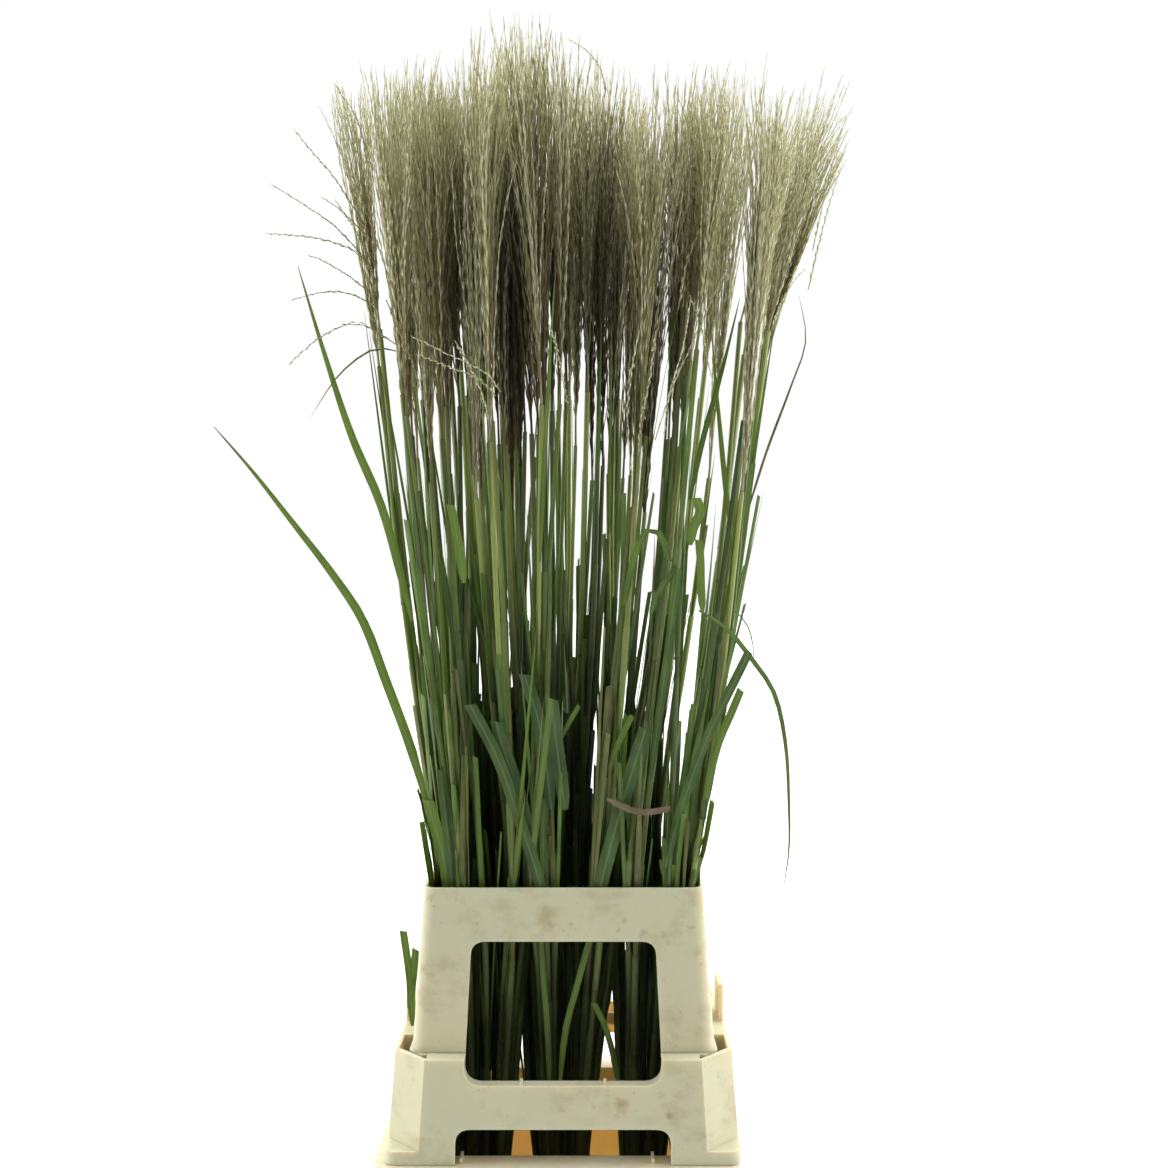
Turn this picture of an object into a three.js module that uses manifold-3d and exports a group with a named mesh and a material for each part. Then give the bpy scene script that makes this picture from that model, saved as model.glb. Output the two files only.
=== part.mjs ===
// Cut Chinese silver grass standing in a plastic flower bucket under two stacked collars.
// Millimetres, +Z up. The origin is on the ground under the middle of the collars; the front faces -Y.
import * as THREE from "three";
import { mergeVertices } from "three/addons/utils/BufferGeometryUtils.js";
import Module from "manifold-3d";

const wasm = await Module();
wasm.setup();

// Walls and clearances
const WALL = 3;
const GAP = 0.3;
const FIT = 0.7; // all round the upper collar's skirt in the lower collar's mouth
const CORNER_STEPS = 7;

// Bucket: half sizes across (X) and deep (Y)
const BUCKET_HEIGHT = 332;
const BUCKET_FOOT = [140, 103];
const BUCKET_TOP = [161, 123.5];
const BUCKET_CORNER = 32;
const BUCKET_FLOOR = 6;
const BUCKET_ASIDE = -6; // the bucket stands a little to the left of its collars
const FLANGE = [184, 150];
const FLANGE_CORNER = 20;
const FLANGE_DROP = 34;
const FLANGE_RIB = { x: 96, width: 3, height: 5, from: 121.5, to: 139.5 };

// Lower collar, on the bucket's flange
const LOWER_FOOT = [180, 144.5];
const LOWER_TOP = [172.5, 137.5];
const FOOT_CORNER = 14;
const LEDGE_HEIGHT = 435;
const EAR_CUT = 35;
const EAR_FOOT_HEIGHT = 346;
const FOOT_WINDOW = { halfWidth: 107.5, top: 367, corner: 15 };
const NOTCH = { halfWidth: 99, bottom: 409.5, corner: 18, lipDepth: 13 };
const LIP_RIB = { x: 42, width: 3, height: 2.5 };
const POCKET_BACK = 63; // how far in front of the middle each corner pocket ends
const POCKET_RIB_DROP = 52;
const TAB = { outer: 172.5, thickness: 5, halfLength: 22, height: 40 };

// Upper collar, shouldered on the lower collar's ledge
const UPPER_SHOULDER = [154.5, 118.5];
const UPPER_RIM = [144, 107.5];
const UPPER_CORNER = 14;
const SKIRT = [152.5, 116.5];
const SKIRT_FOOT_HEIGHT = 385;
const RIM_HEIGHT = 600;
const WINDOW = { topHalf: 94, bottomHalf: 101, top: 546, bottom: 400, corner: 14 };

// Grass: three bunches, banded low down, fanning out over the rim
const BUNCH_MIDDLES = [-88, -4, 80];
const BUNCH_NAMES = ["left", "middle", "right"];
const BAND = { height: 190, inner: 27, thickness: 1.6, width: 8 };
const STEM_RADIUS = 3.2;
const PLUME_RADIUS = 19;
const LEAF_THICKNESS = 1.2;

const PLASTIC = 0xc9c3a4;
const PLASTIC_PALE = 0xe1e0d0;
const STEM_GREEN = 0x647c3e;
const LEAF_GREEN = 0x5a8f3a;
const LEAF_BLUE = 0x4d7a5c;
const LEAF_DRY = 0x9a8a62;
const PLUME_BUFF = 0xb9b491;
const BAND_TAN = 0xb98a52;

function material(color, roughness) {
  return new THREE.MeshStandardMaterial({ color, roughness, metalness: 0 });
}

// A closed geometry as a solid, and back again.
function solid(geometry) {
  geometry.deleteAttribute("normal");
  geometry.deleteAttribute("uv");
  const merged = mergeVertices(geometry, 1e-3);
  const vertProperties = merged.attributes.position.array;
  const triVerts = new Uint32Array(merged.index.array);
  return new wasm.Manifold(new wasm.Mesh({ numProp: 3, vertProperties, triVerts }));
}

function geometryOf(made) {
  const mesh = made.getMesh();
  const geometry = new THREE.BufferGeometry();
  geometry.setAttribute("position", new THREE.BufferAttribute(mesh.vertProperties, 3));
  geometry.setIndex(new THREE.BufferAttribute(mesh.triVerts, 1));
  return geometry;
}

// Outlines in plan
function roundedOutline([halfX, halfY], radius) {
  const shape = new THREE.Shape();
  const [x, y] = [halfX - radius, halfY - radius];
  shape.absarc(x, y, radius, 0, Math.PI / 2);
  shape.absarc(-x, y, radius, Math.PI / 2, Math.PI);
  shape.absarc(-x, -y, radius, Math.PI, 1.5 * Math.PI);
  shape.absarc(x, -y, radius, 1.5 * Math.PI, 2 * Math.PI);
  return shape;
}

function cutOutline([halfX, halfY], cut) {
  const [x, y] = [halfX - cut, halfY - cut];
  const corners = [[halfX, -y], [halfX, y], [x, halfY], [-x, halfY]];
  const opposite = [[-halfX, y], [-halfX, -y], [-x, -halfY], [x, -halfY]];
  return new THREE.Shape([...corners, ...opposite].map(([a, b]) => new THREE.Vector2(a, b)));
}

// A block that stands on an outline and whose half sizes change from foot to top.
function block(outline, [footX, footY], [topX, topY], low, high) {
  const depth = high - low;
  const geometry = new THREE.ExtrudeGeometry(outline, {
    depth,
    bevelEnabled: false,
    curveSegments: CORNER_STEPS,
  });
  const p = geometry.attributes.position;
  for (let i = 0; i < p.count; i++) {
    const t = p.getZ(i) / depth;
    const scaleX = 1 + (topX / footX - 1) * t;
    const scaleY = 1 + (topY / footY - 1) * t;
    p.setXYZ(i, p.getX(i) * scaleX, p.getY(i) * scaleY, low + p.getZ(i));
  }
  return solid(geometry);
}

const inset = ([x, y], by) => [x - by, y - by];

function roundedBlock(foot, top, corner, low, high) {
  return block(roundedOutline(foot, corner), foot, top, low, high);
}

function cutBlock(foot, top, cut, low, high) {
  return block(cutOutline(foot, cut), foot, top, low, high);
}

function box(xs, ys, zs) {
  const size = [xs, ys, zs].map(([a, b]) => b - a);
  const geometry = new THREE.BoxGeometry(...size).toNonIndexed();
  geometry.translate(...[xs, ys, zs].map(([a, b]) => (a + b) / 2));
  return solid(geometry);
}

// A tool that cuts an opening through the front and the back, with rounded corners.
function throughCut(footHalf, topHalf, bottom, top, corner, from, to) {
  const path = new THREE.Path();
  const corners = [[-footHalf, bottom], [footHalf, bottom], [topHalf, top], [-topHalf, top]];
  corners.forEach((here, i) => {
    const before = corners[(i + 3) % 4];
    const after = corners[(i + 1) % 4];
    const towards = (other) => {
      const way = new THREE.Vector2(other[0] - here[0], other[1] - here[1]).setLength(corner);
      return [here[0] + way.x, here[1] + way.y];
    };
    const start = towards(before);
    if (i === 0) path.moveTo(...start);
    else path.lineTo(...start);
    path.quadraticCurveTo(...here, ...towards(after));
  });
  const shape = new THREE.Shape(path.getPoints(CORNER_STEPS));
  const geometry = new THREE.ExtrudeGeometry(shape, { depth: to - from, bevelEnabled: false });
  geometry.rotateX(Math.PI / 2).translate(0, to, 0);
  return solid(geometry);
}

const sum = (solids) => solids.reduce((a, b) => a.add(b));
const signs = [[1, 1], [1, -1], [-1, 1], [-1, -1]];
const ordered = (a, b) => [Math.min(a, b), Math.max(a, b)];

// One small rib in each quarter, standing on a level face
function ribs({ x, width, height }, from, to, level) {
  return sum(
    signs.map(([signX, signY]) =>
      box(
        ordered(signX * x - width / 2, signX * x + width / 2),
        ordered(signY * from, signY * to),
        [level - 0.5, level + height],
      ),
    ),
  );
}

// Half size of a tapering wall at a height between its foot and its top
function between([lowX, lowY], [highX, highY], low, high, height) {
  const t = (height - low) / (high - low);
  return [lowX + (highX - lowX) * t, lowY + (highY - lowY) * t];
}

function bucket() {
  const flangeFoot = BUCKET_HEIGHT - FLANGE_DROP;
  const under = BUCKET_HEIGHT - WALL;
  const body = roundedBlock(BUCKET_FOOT, BUCKET_TOP, BUCKET_CORNER, 0, BUCKET_HEIGHT);
  const inside = roundedBlock(
    inset(BUCKET_FOOT, WALL),
    inset(BUCKET_TOP, WALL),
    BUCKET_CORNER - WALL,
    BUCKET_FLOOR,
    BUCKET_HEIGHT + 1,
  );
  const flange = roundedBlock(FLANGE, FLANGE, FLANGE_CORNER, flangeFoot, BUCKET_HEIGHT);
  const hollow = inset(FLANGE, WALL);
  const underFlange = roundedBlock(hollow, hollow, FLANGE_CORNER - WALL, flangeFoot - 1, under);
  const tub = flange.subtract(underFlange).add(body).subtract(inside);
  const whole = tub.add(ribs(FLANGE_RIB, FLANGE_RIB.from, FLANGE_RIB.to, BUCKET_HEIGHT));
  return whole.translate([BUCKET_ASIDE, 0, 0]);
}

function cornerPocket(signX, signY) {
  const [outX, outY] = inset(LOWER_TOP, WALL + 1);
  const [inX, inY] = [SKIRT[0] + 5, SKIRT[1] + 5];
  const [cutX, cutY] = [LOWER_TOP[0] - EAR_CUT, LOWER_TOP[1] - EAR_CUT];
  const points = [
    [outX, POCKET_BACK],
    [outX, cutY],
    [cutX, outY],
    [cutX, inY],
    [inX - UPPER_CORNER, inY],
    [inX, inY - UPPER_CORNER],
    [inX, POCKET_BACK],
  ].map(([x, y]) => new THREE.Vector2(x * signX, y * signY));
  const geometry = new THREE.ExtrudeGeometry(new THREE.Shape(points), {
    depth: 2 * WALL,
    bevelEnabled: false,
  });
  return solid(geometry.translate(0, 0, LEDGE_HEIGHT - 1.5 * WALL));
}

function lowerCollar() {
  const foot = BUCKET_HEIGHT + GAP;
  const earFoot = between(LOWER_FOOT, LOWER_TOP, foot, LEDGE_HEIGHT, EAR_FOOT_HEIGHT);
  const reach = FLANGE[1];
  const outer = sum([
    roundedBlock(LOWER_FOOT, earFoot, FOOT_CORNER, foot, EAR_FOOT_HEIGHT),
    cutBlock(earFoot, LOWER_TOP, EAR_CUT, EAR_FOOT_HEIGHT, LEDGE_HEIGHT),
  ]);
  const roomTop = LEDGE_HEIGHT - WALL;
  const roomCut = EAR_CUT - WALL / 2;
  const step = EAR_FOOT_HEIGHT - WALL;
  const [low, middle, high] = [LOWER_FOOT, earFoot, LOWER_TOP].map((size) => inset(size, WALL));
  const room = sum([
    roundedBlock(low, middle, FOOT_CORNER - WALL, foot - 1, step),
    cutBlock(middle, high, roomCut, step - 0.01, roomTop),
  ]);
  const mouth = [SKIRT[0] + FIT, SKIRT[1] + FIT];
  const mouthHole = roundedBlock(mouth, mouth, UPPER_CORNER, roomTop - 1, LEDGE_HEIGHT + 1);
  const pockets = sum(signs.map(([x, y]) => cornerPocket(x, y)));
  const pocketBacks = sum(
    signs.map(([x, y]) =>
      box(
        ordered(x * (mouth[0] + 4), x * (LOWER_TOP[0] - 1)),
        ordered(y * POCKET_BACK, y * (POCKET_BACK - WALL)),
        [LEDGE_HEIGHT - POCKET_RIB_DROP, LEDGE_HEIGHT],
      ),
    ),
  );
  const tabs = sum(
    [1, -1].map((x) =>
      box(
        ordered(x * TAB.outer, x * (TAB.outer - TAB.thickness)),
        [-TAB.halfLength, TAB.halfLength],
        [LEDGE_HEIGHT - WALL, LEDGE_HEIGHT + TAB.height],
      ),
    ),
  );
  const { halfWidth, bottom, corner, lipDepth } = NOTCH;
  const over = LEDGE_HEIGHT + corner;
  const notch = throughCut(halfWidth, halfWidth, bottom, over, corner, -reach, reach);
  const lips = sum(
    [-1, 1].map((side) => {
      const [from, to] = ordered(side * (LOWER_TOP[1] - 1), side * (LOWER_TOP[1] - lipDepth));
      const wide = halfWidth + WALL;
      return throughCut(wide, wide, bottom - WALL, over, corner + WALL, from, to);
    }),
  ).subtract(box([-FLANGE[0], FLANGE[0]], [-reach, reach], [LEDGE_HEIGHT, over + 1]));
  const window = FOOT_WINDOW;
  const footWindow = throughCut(
    window.halfWidth,
    window.halfWidth,
    foot - 2 * window.corner,
    window.top,
    window.corner,
    -reach,
    reach,
  );
  const shell = outer.subtract(room).subtract(mouthHole).subtract(pockets);
  const lipRibs = ribs(LIP_RIB, LOWER_TOP[1] - lipDepth, LOWER_TOP[1] - 1, bottom);
  const whole = sum([shell, pocketBacks, tabs, lips]).subtract(notch).subtract(footWindow);
  return whole.add(lipRibs);
}

function upperCollar() {
  const shoulder = LEDGE_HEIGHT + GAP;
  const skirtTop = shoulder + 2 * WALL;
  const atSkirtTop = between(UPPER_SHOULDER, UPPER_RIM, shoulder, RIM_HEIGHT, skirtTop);
  const outer = sum([
    roundedBlock(SKIRT, SKIRT, UPPER_CORNER - 2, SKIRT_FOOT_HEIGHT, skirtTop),
    roundedBlock(UPPER_SHOULDER, UPPER_RIM, UPPER_CORNER, shoulder, RIM_HEIGHT),
  ]);
  const low = inset(SKIRT, WALL);
  const high = inset(atSkirtTop, WALL + 1);
  const rim = inset(UPPER_RIM, WALL);
  const corner = UPPER_CORNER - WALL;
  const inner = sum([
    roundedBlock(low, low, corner, SKIRT_FOOT_HEIGHT - 1, shoulder + WALL),
    roundedBlock(low, high, corner, shoulder + WALL - 0.01, skirtTop + WALL),
    roundedBlock(high, rim, corner, skirtTop + WALL - 0.01, RIM_HEIGHT + 1),
  ]);
  const { topHalf, bottomHalf, top, bottom, corner: round } = WINDOW;
  const window = throughCut(bottomHalf, topHalf, bottom, top, round, -FLANGE[1], FLANGE[1]);
  return outer.subtract(inner).subtract(window);
}

// Where each flowering stem leaves the rim, and where its plume starts and ends.
// Rows run from the front to the back: [plume foot x, plume foot height, tip x, tip height].
const STEM_ROWS = [
  {
    depth: -105,
    rimDepth: -88,
    stems: [
      [-165, 1105, -183, 1445],
      [-125, 1060, -140, 1440],
      [-75, 1055, -86, 1485],
      [-20, 1045, -30, 1490],
      [78, 1065, 92, 1425],
      [136, 1150, 160, 1430],
      [186, 1080, 216, 1440],
    ],
  },
  {
    depth: 0,
    rimDepth: 0,
    stems: [
      [-203, 1190, -235, 1462],
      [-158, 1115, -168, 1502],
      [-108, 1120, -118, 1490],
      [-48, 1040, -60, 1518],
      [38, 1105, 36, 1488],
      [114, 1070, 130, 1468],
      [224, 1190, 288, 1462],
    ],
  },
  {
    depth: 105,
    rimDepth: 88,
    stems: [
      [-138, 1160, -150, 1508],
      [-72, 1130, -80, 1530],
      [4, 1130, 2, 1520],
      [62, 1130, 74, 1522],
      [158, 1130, 200, 1518],
      [212, 1185, 268, 1508],
    ],
  },
];
const FOOT_SPREAD = [-203, 224];
const RIM_SPREAD = [-132, 132];
const BAND_SQUEEZE = [0.36, 0.19];
const ROW_WANDER = 13; // how far a stem strays in depth from its row
const FOOT_SQUEEZE = [0.42, 0.26];

function rimPlace(x, rimDepth) {
  const t = (x - FOOT_SPREAD[0]) / (FOOT_SPREAD[1] - FOOT_SPREAD[0]);
  const rimX = RIM_SPREAD[0] + (RIM_SPREAD[1] - RIM_SPREAD[0]) * t;
  const bunch = Math.min(2, Math.floor(3 * Math.min(t, 0.999)));
  const bunchRimX = (RIM_SPREAD[1] * 2 * (bunch - 1)) / 3;
  return { rimX, rimDepth, bunch, aside: rimX - bunchRimX };
}

// The line of a stem from its cut end in the bucket to the foot of its plume
function stemPath(x, height, depth, rimDepth) {
  const { rimX, bunch, aside } = rimPlace(x, rimDepth);
  const middle = BUNCH_MIDDLES[bunch];
  const low = ([sx, sy], z) => new THREE.Vector3(middle + aside * sx, rimDepth * sy, z);
  const rim = new THREE.Vector3(rimX, rimDepth, RIM_HEIGHT - 10);
  const end = new THREE.Vector3(x, depth, height);
  const bow = new THREE.Vector3((x - rimX) * 0.06, (depth - rimDepth) * 0.06, 0);
  const rise = rim.clone().lerp(end, 0.5).add(bow);
  const foot = low(FOOT_SQUEEZE, BUCKET_FLOOR + 1.5);
  return new THREE.CatmullRomCurve3([foot, low(BAND_SQUEEZE, BAND.height), rim, rise, end]);
}

// Scales every ring of an extrusion about its own centre on the path.
function thinAlong(geometry, path, steps, scaleAt) {
  const centres = path.getSpacedPoints(steps);
  const p = geometry.attributes.position;
  const v = new THREE.Vector3();
  for (let i = 0; i < p.count; i++) {
    v.fromBufferAttribute(p, i);
    let nearest = 0;
    centres.forEach((c, k) => {
      if (c.distanceTo(v) < centres[nearest].distanceTo(v)) nearest = k;
    });
    v.sub(centres[nearest]).multiplyScalar(scaleAt(nearest / steps)).add(centres[nearest]);
    p.setXYZ(i, v.x, v.y, v.z);
  }
  return geometry;
}

function ring(radius, sides) {
  const points = Array.from({ length: sides }, (_, i) => {
    const angle = (2 * Math.PI * i) / sides;
    return new THREE.Vector2(radius * Math.cos(angle), radius * Math.sin(angle));
  });
  return new THREE.Shape(points);
}

function stem(path) {
  const steps = 12;
  const geometry = new THREE.ExtrudeGeometry(ring(STEM_RADIUS, 6), {
    steps,
    extrudePath: path,
    bevelEnabled: false,
  });
  return thinAlong(geometry, path, steps, (t) => 1.1 - 0.35 * t);
}

// A spindle from the foot of the plume to its tip, as wide as the spread of its branches
function plume(foot, tip) {
  const way = tip.clone().sub(foot);
  const length = way.length();
  const outline = [[0.08, 0], [0.45, 0.12], [0.9, 0.38], [1, 0.6], [0.62, 0.86], [0, 1]];
  const profile = outline.map(([r, t]) => new THREE.Vector2(r * PLUME_RADIUS, t * length));
  const geometry = new THREE.LatheGeometry([new THREE.Vector2(0, 0), ...profile], 7);
  const turn = new THREE.Quaternion().setFromUnitVectors(
    new THREE.Vector3(0, 1, 0),
    way.normalize(),
  );
  return geometry.applyQuaternion(turn).translate(foot.x, foot.y, foot.z);
}

// Leaves, each from where it leaves the bunch to its tip or its cut end
const LEAVES = {
  far_left: {
    width: 9,
    color: LEAF_GREEN,
    points: [
      [-136, -100, 668],
      [-158, -92, 740],
      [-185, -84, 809],
      [-211, -76, 873],
      [-243, -68, 920],
      [-290, -60, 979],
      [-333, -52, 1032],
      [-376, -44, 1080],
    ],
  },
  left: {
    width: 8,
    color: LEAF_GREEN,
    points: [[-158, -82, 872], [-191, -72, 990], [-224, -64, 1066], [-256, -58, 1160], [-284, -52, 1250]],
  },
  right_wisp: {
    width: 5,
    color: LEAF_DRY,
    points: [[205, 12, 985], [232, 16, 1059], [256, 20, 1114], [276, 24, 1172], [292, 28, 1246]],
  },
  arching: {
    width: 5,
    color: LEAF_GREEN,
    points: [
      [138, -116, 884],
      [167, -100, 866],
      [194, -84, 835],
      [221, -68, 797],
      [235, -56, 743],
      [240, -48, 679],
      [241, -42, 625],
      [235, -38, 579],
    ],
  },
  cut_right: {
    width: 9,
    cut: true,
    color: LEAF_BLUE,
    points: [[104, -104, 620], [120, -110, 680], [145, -118, 752], [188, -126, 843]],
  },
  looped: {
    width: 6,
    cut: true,
    color: LEAF_GREEN,
    points: [[62, -118, 890], [74, -122, 945], [88, -126, 968], [99, -124, 960], [107, -120, 934]],
  },
  bright: {
    width: 10,
    cut: true,
    color: LEAF_GREEN,
    points: [[-101, -118, 912], [-106, -120, 950], [-114, -122, 991]],
  },
  square_cut_left: {
    width: 12,
    cut: true,
    color: LEAF_BLUE,
    points: [[-12, -108, 680], [-23, -118, 763], [-39, -122, 819]],
  },
  square_cut_right: {
    width: 13,
    cut: true,
    color: LEAF_BLUE,
    points: [[2, -108, 680], [-6, -116, 740], [-12, -120, 794]],
  },
  front_left: {
    width: 11,
    cut: true,
    color: LEAF_BLUE,
    points: [[-17, -99, 560], [-24, -100, 601], [-45, -108, 669], [-66, -117, 732], [-94, -126, 789]],
  },
  front_right: {
    width: 13,
    cut: true,
    color: LEAF_BLUE,
    points: [[29, -98, 560], [38, -100, 601], [58, -112, 680], [83, -122, 763]],
  },
  dry: {
    width: 6,
    cut: true,
    color: LEAF_DRY,
    points: [[44, -124, 694], [76, -128, 681], [108, -126, 684]],
  },
  side_stub: {
    width: 7,
    cut: true,
    color: LEAF_GREEN,
    points: [[-162, -52, 440], [-165, -50, 490], [-172, -48, 540]],
  },
};

function leaf({ width, cut, points }) {
  const path = new THREE.CatmullRomCurve3(points.map((p) => new THREE.Vector3(...p)));
  const steps = 2 * points.length + 2;
  const [x, y] = [LEAF_THICKNESS / 2, width / 2];
  const section = [[x, 0], [0, y], [-x, 0], [0, -y]].map(([a, b]) => new THREE.Vector2(a, b));
  const geometry = new THREE.ExtrudeGeometry(new THREE.Shape(section), {
    steps,
    extrudePath: path,
    bevelEnabled: false,
  });
  const scaleAt = (t) => (cut ? 1 : Math.min(1, 0.25 + 1.6 * (1 - t)));
  return thinAlong(geometry, path, steps, scaleAt);
}

// A flat rubber band round one bunch
function band(middle) {
  const { height, inner, thickness, width } = BAND;
  const outer = inner + thickness;
  const [low, high] = [height - width / 2, height + width / 2];
  const profile = [[inner, low], [outer, low], [outer, high], [inner, high], [inner, low]];
  const geometry = new THREE.LatheGeometry(
    profile.map(([r, z]) => new THREE.Vector2(r, z)),
    16,
  );
  return geometry.rotateX(Math.PI / 2).translate(middle, 0, 0);
}

function add(group, name, geometry, color, roughness) {
  const mesh = new THREE.Mesh(geometry, material(color, roughness));
  mesh.name = name;
  mesh.geometry.computeVertexNormals();
  group.add(mesh);
}

const holder = new THREE.Group();
add(holder, "bucket", geometryOf(bucket()), PLASTIC_PALE, 0.5);
add(holder, "lower_collar", geometryOf(lowerCollar()), PLASTIC, 0.55);
add(holder, "upper_collar", geometryOf(upperCollar()), PLASTIC, 0.55);

const grass = new THREE.Group();
BUNCH_NAMES.forEach((name, i) => {
  add(grass, `band_${name}`, band(BUNCH_MIDDLES[i]), BAND_TAN, 0.7);
});
STEM_ROWS.flatMap((row) => row.stems.map((numbers) => ({ row, numbers }))).forEach(
  ({ row, numbers: [x, height, tipX, tipHeight] }, i) => {
    const number = String(i + 1).padStart(2, "0");
    const depth = row.depth + ROW_WANDER * Math.sin(2.4 * i);
    const foot = new THREE.Vector3(x, depth, height);
    const tip = new THREE.Vector3(tipX, depth * 1.12, tipHeight);
    add(grass, `stem_${number}`, stem(stemPath(x, height, depth, row.rimDepth)), STEM_GREEN, 0.6);
    const start = foot.clone().add(tip.clone().sub(foot).setLength(3 * GAP));
    add(grass, `plume_${number}`, plume(start, tip), PLUME_BUFF, 0.85);
  },
);
Object.entries(LEAVES).forEach(([name, shape]) => {
  add(grass, `leaf_${name}`, leaf(shape), shape.color, 0.55);
});

const silverGrass = new THREE.Group();
silverGrass.add(holder, grass);
export default silverGrass;
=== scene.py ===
# Cut Chinese silver grass standing in a plastic flower bucket under two stacked collars.
# Metres, +Z up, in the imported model's own frame; the front faces -Y.
import random
from bisect import bisect
from math import atan2, copysign, cos, pi, radians, sin, sqrt, tau

import bmesh
import bpy
from bpy.props import (
    BoolProperty,
    FloatProperty,
    FloatVectorProperty,
    IntProperty,
    PointerProperty,
)
from mathutils import Matrix, Vector


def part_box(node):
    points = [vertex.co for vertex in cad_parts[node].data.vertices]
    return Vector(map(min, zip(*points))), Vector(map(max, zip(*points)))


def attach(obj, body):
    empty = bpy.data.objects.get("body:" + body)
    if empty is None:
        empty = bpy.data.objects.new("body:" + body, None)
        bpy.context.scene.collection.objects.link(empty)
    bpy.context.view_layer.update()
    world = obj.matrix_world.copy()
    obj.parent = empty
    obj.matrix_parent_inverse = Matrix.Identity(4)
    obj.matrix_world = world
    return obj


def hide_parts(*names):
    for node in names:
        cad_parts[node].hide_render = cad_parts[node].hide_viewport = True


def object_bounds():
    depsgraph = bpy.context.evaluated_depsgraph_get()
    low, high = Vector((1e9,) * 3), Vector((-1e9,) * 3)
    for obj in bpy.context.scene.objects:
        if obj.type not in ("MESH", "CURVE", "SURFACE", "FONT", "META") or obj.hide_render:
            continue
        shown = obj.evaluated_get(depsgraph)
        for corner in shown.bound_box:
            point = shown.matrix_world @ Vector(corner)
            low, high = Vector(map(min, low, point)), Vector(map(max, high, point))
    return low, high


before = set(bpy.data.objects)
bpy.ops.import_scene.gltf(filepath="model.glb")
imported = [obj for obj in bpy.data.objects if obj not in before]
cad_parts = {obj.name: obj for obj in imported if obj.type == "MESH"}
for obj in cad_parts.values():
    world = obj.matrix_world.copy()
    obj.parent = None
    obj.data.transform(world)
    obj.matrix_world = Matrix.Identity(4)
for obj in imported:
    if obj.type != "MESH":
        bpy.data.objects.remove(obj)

bl_info = {
    "name": "Bucket of Cut Silver Grass",
    "version": (1, 0, 0),
    "blender": (4, 5, 0),
    "location": "3D Viewport > Sidebar > Silver Grass",
    "description": "Builds cut silver grass in its bucket and collars round the packed model",
    "category": "Add Mesh",
}

CAD_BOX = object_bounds()
MM = 0.001
UP = Vector((0, 0, 1))
FRONT = Vector((0, -1, 0))

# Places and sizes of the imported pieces
RIM_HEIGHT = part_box("upper_collar")[1].z
COLLAR_WALL = 3 * MM
COLLAR_CORNER = 11 * MM
COLLAR_SHOULDER = Vector(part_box("upper_collar")[1]).to_2d()
COLLAR_CORNERS = [vert.co.copy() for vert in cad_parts["upper_collar"].data.vertices]
RIM_CORNERS = [corner for corner in COLLAR_CORNERS if corner.z > RIM_HEIGHT - MM]
COLLAR_RIM = Vector([max(corner[axis] for corner in RIM_CORNERS) for axis in (0, 1)])
LEDGE_HEIGHT = 0.4353
BUNCHES = {
    name: sum(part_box(f"band_{name}"), Vector()) / 2 for name in ("left", "middle", "right")
}
BAND_OUTER = (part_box("band_left")[1].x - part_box("band_left")[0].x) / 2
CANE_SIDES_IN_MODEL = 6
CANE_NODES = sorted(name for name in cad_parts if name.startswith("stem_"))
FOOT_WINDOW_HEIGHT = 0.36

# How far canes stand from the middle of their bunch: at their cut ends, in the band, behind the
# foot window and at the rim
SPREAD_AT_FOOT = 26 * MM
SPREAD_IN_BAND = 20 * MM
SPREAD_AT_FOOT_WINDOW = 35 * MM
SPREAD_AT_RIM = Vector((36 * MM, 70 * MM))
CANE_MARGIN = 5 * MM  # from the middle of a cane to a wall
OUTER_ROW = 0.070  # how far canes of the outer rows are from the middle at the rim
STRAIGHT_ABOVE_RIM = 20 * MM  # how far above the rim canes keep within its walls
SPREAD_ABOVE_RIM = 0.3  # how much they may spread from there on, as a share of their rise
TIP_ROOM = 24 * MM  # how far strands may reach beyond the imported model's box
CANE_TAPER = 0.22  # how much thinner a cane is at its plume

# Shade among the grass: half its width and depth, the shares of these between which it fades
# outwards, and the heights between which it fades upwards
AMONG_CANES = (0.150, 0.098), (0.62, 0.98), (0.67, 1.00)
AMONG_PLUMES = (0.18, 0.13), (0.45, 0.95), (1.20, 1.47)
LEAVING_COLLARS = 0.50, 0.64  # the heights between which shade changes to that of the open
SHADE_IN_COLLARS = 0.74

# The two turns of a band: how high above its middle each lies, and its tilt in degrees
BAND_TURNS = [(1.6 * MM, 2.0), (-1.9 * MM, -2.5)]

SHARP_EDGE = radians(30)  # on moulded plastic
SHARP_FOLD = radians(40)  # on a blade
SOFTBOX_SIZE = 2.4
SOFTBOX_PLACE = 0.3, 0.4, 3.4
SENSOR_WIDTH = 36  # millimetres
FLOOR_RADIUS = 40

# How many more canes stand beside each packed one, from stem_01 on
COMPANIONS = [3, 4, 5, 6, 5, 3, 2, 1, 4, 5, 5, 5, 4, 3, 3, 5, 5, 6, 2, 3]

# This table and the next three are in millimetres
# Stains on the front of the collars: their middle, reach and strength
COLLAR_STAINS = [
    ((-19, -108, 571), 26, 0.5),
    ((-60, -108, 583), 24, 0.3),
    ((59, -139, 391), 17, 0.8),
    ((97, -139, 401), 13, 0.85),
    ((106, -140, 381), 9, 0.8),
]

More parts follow.
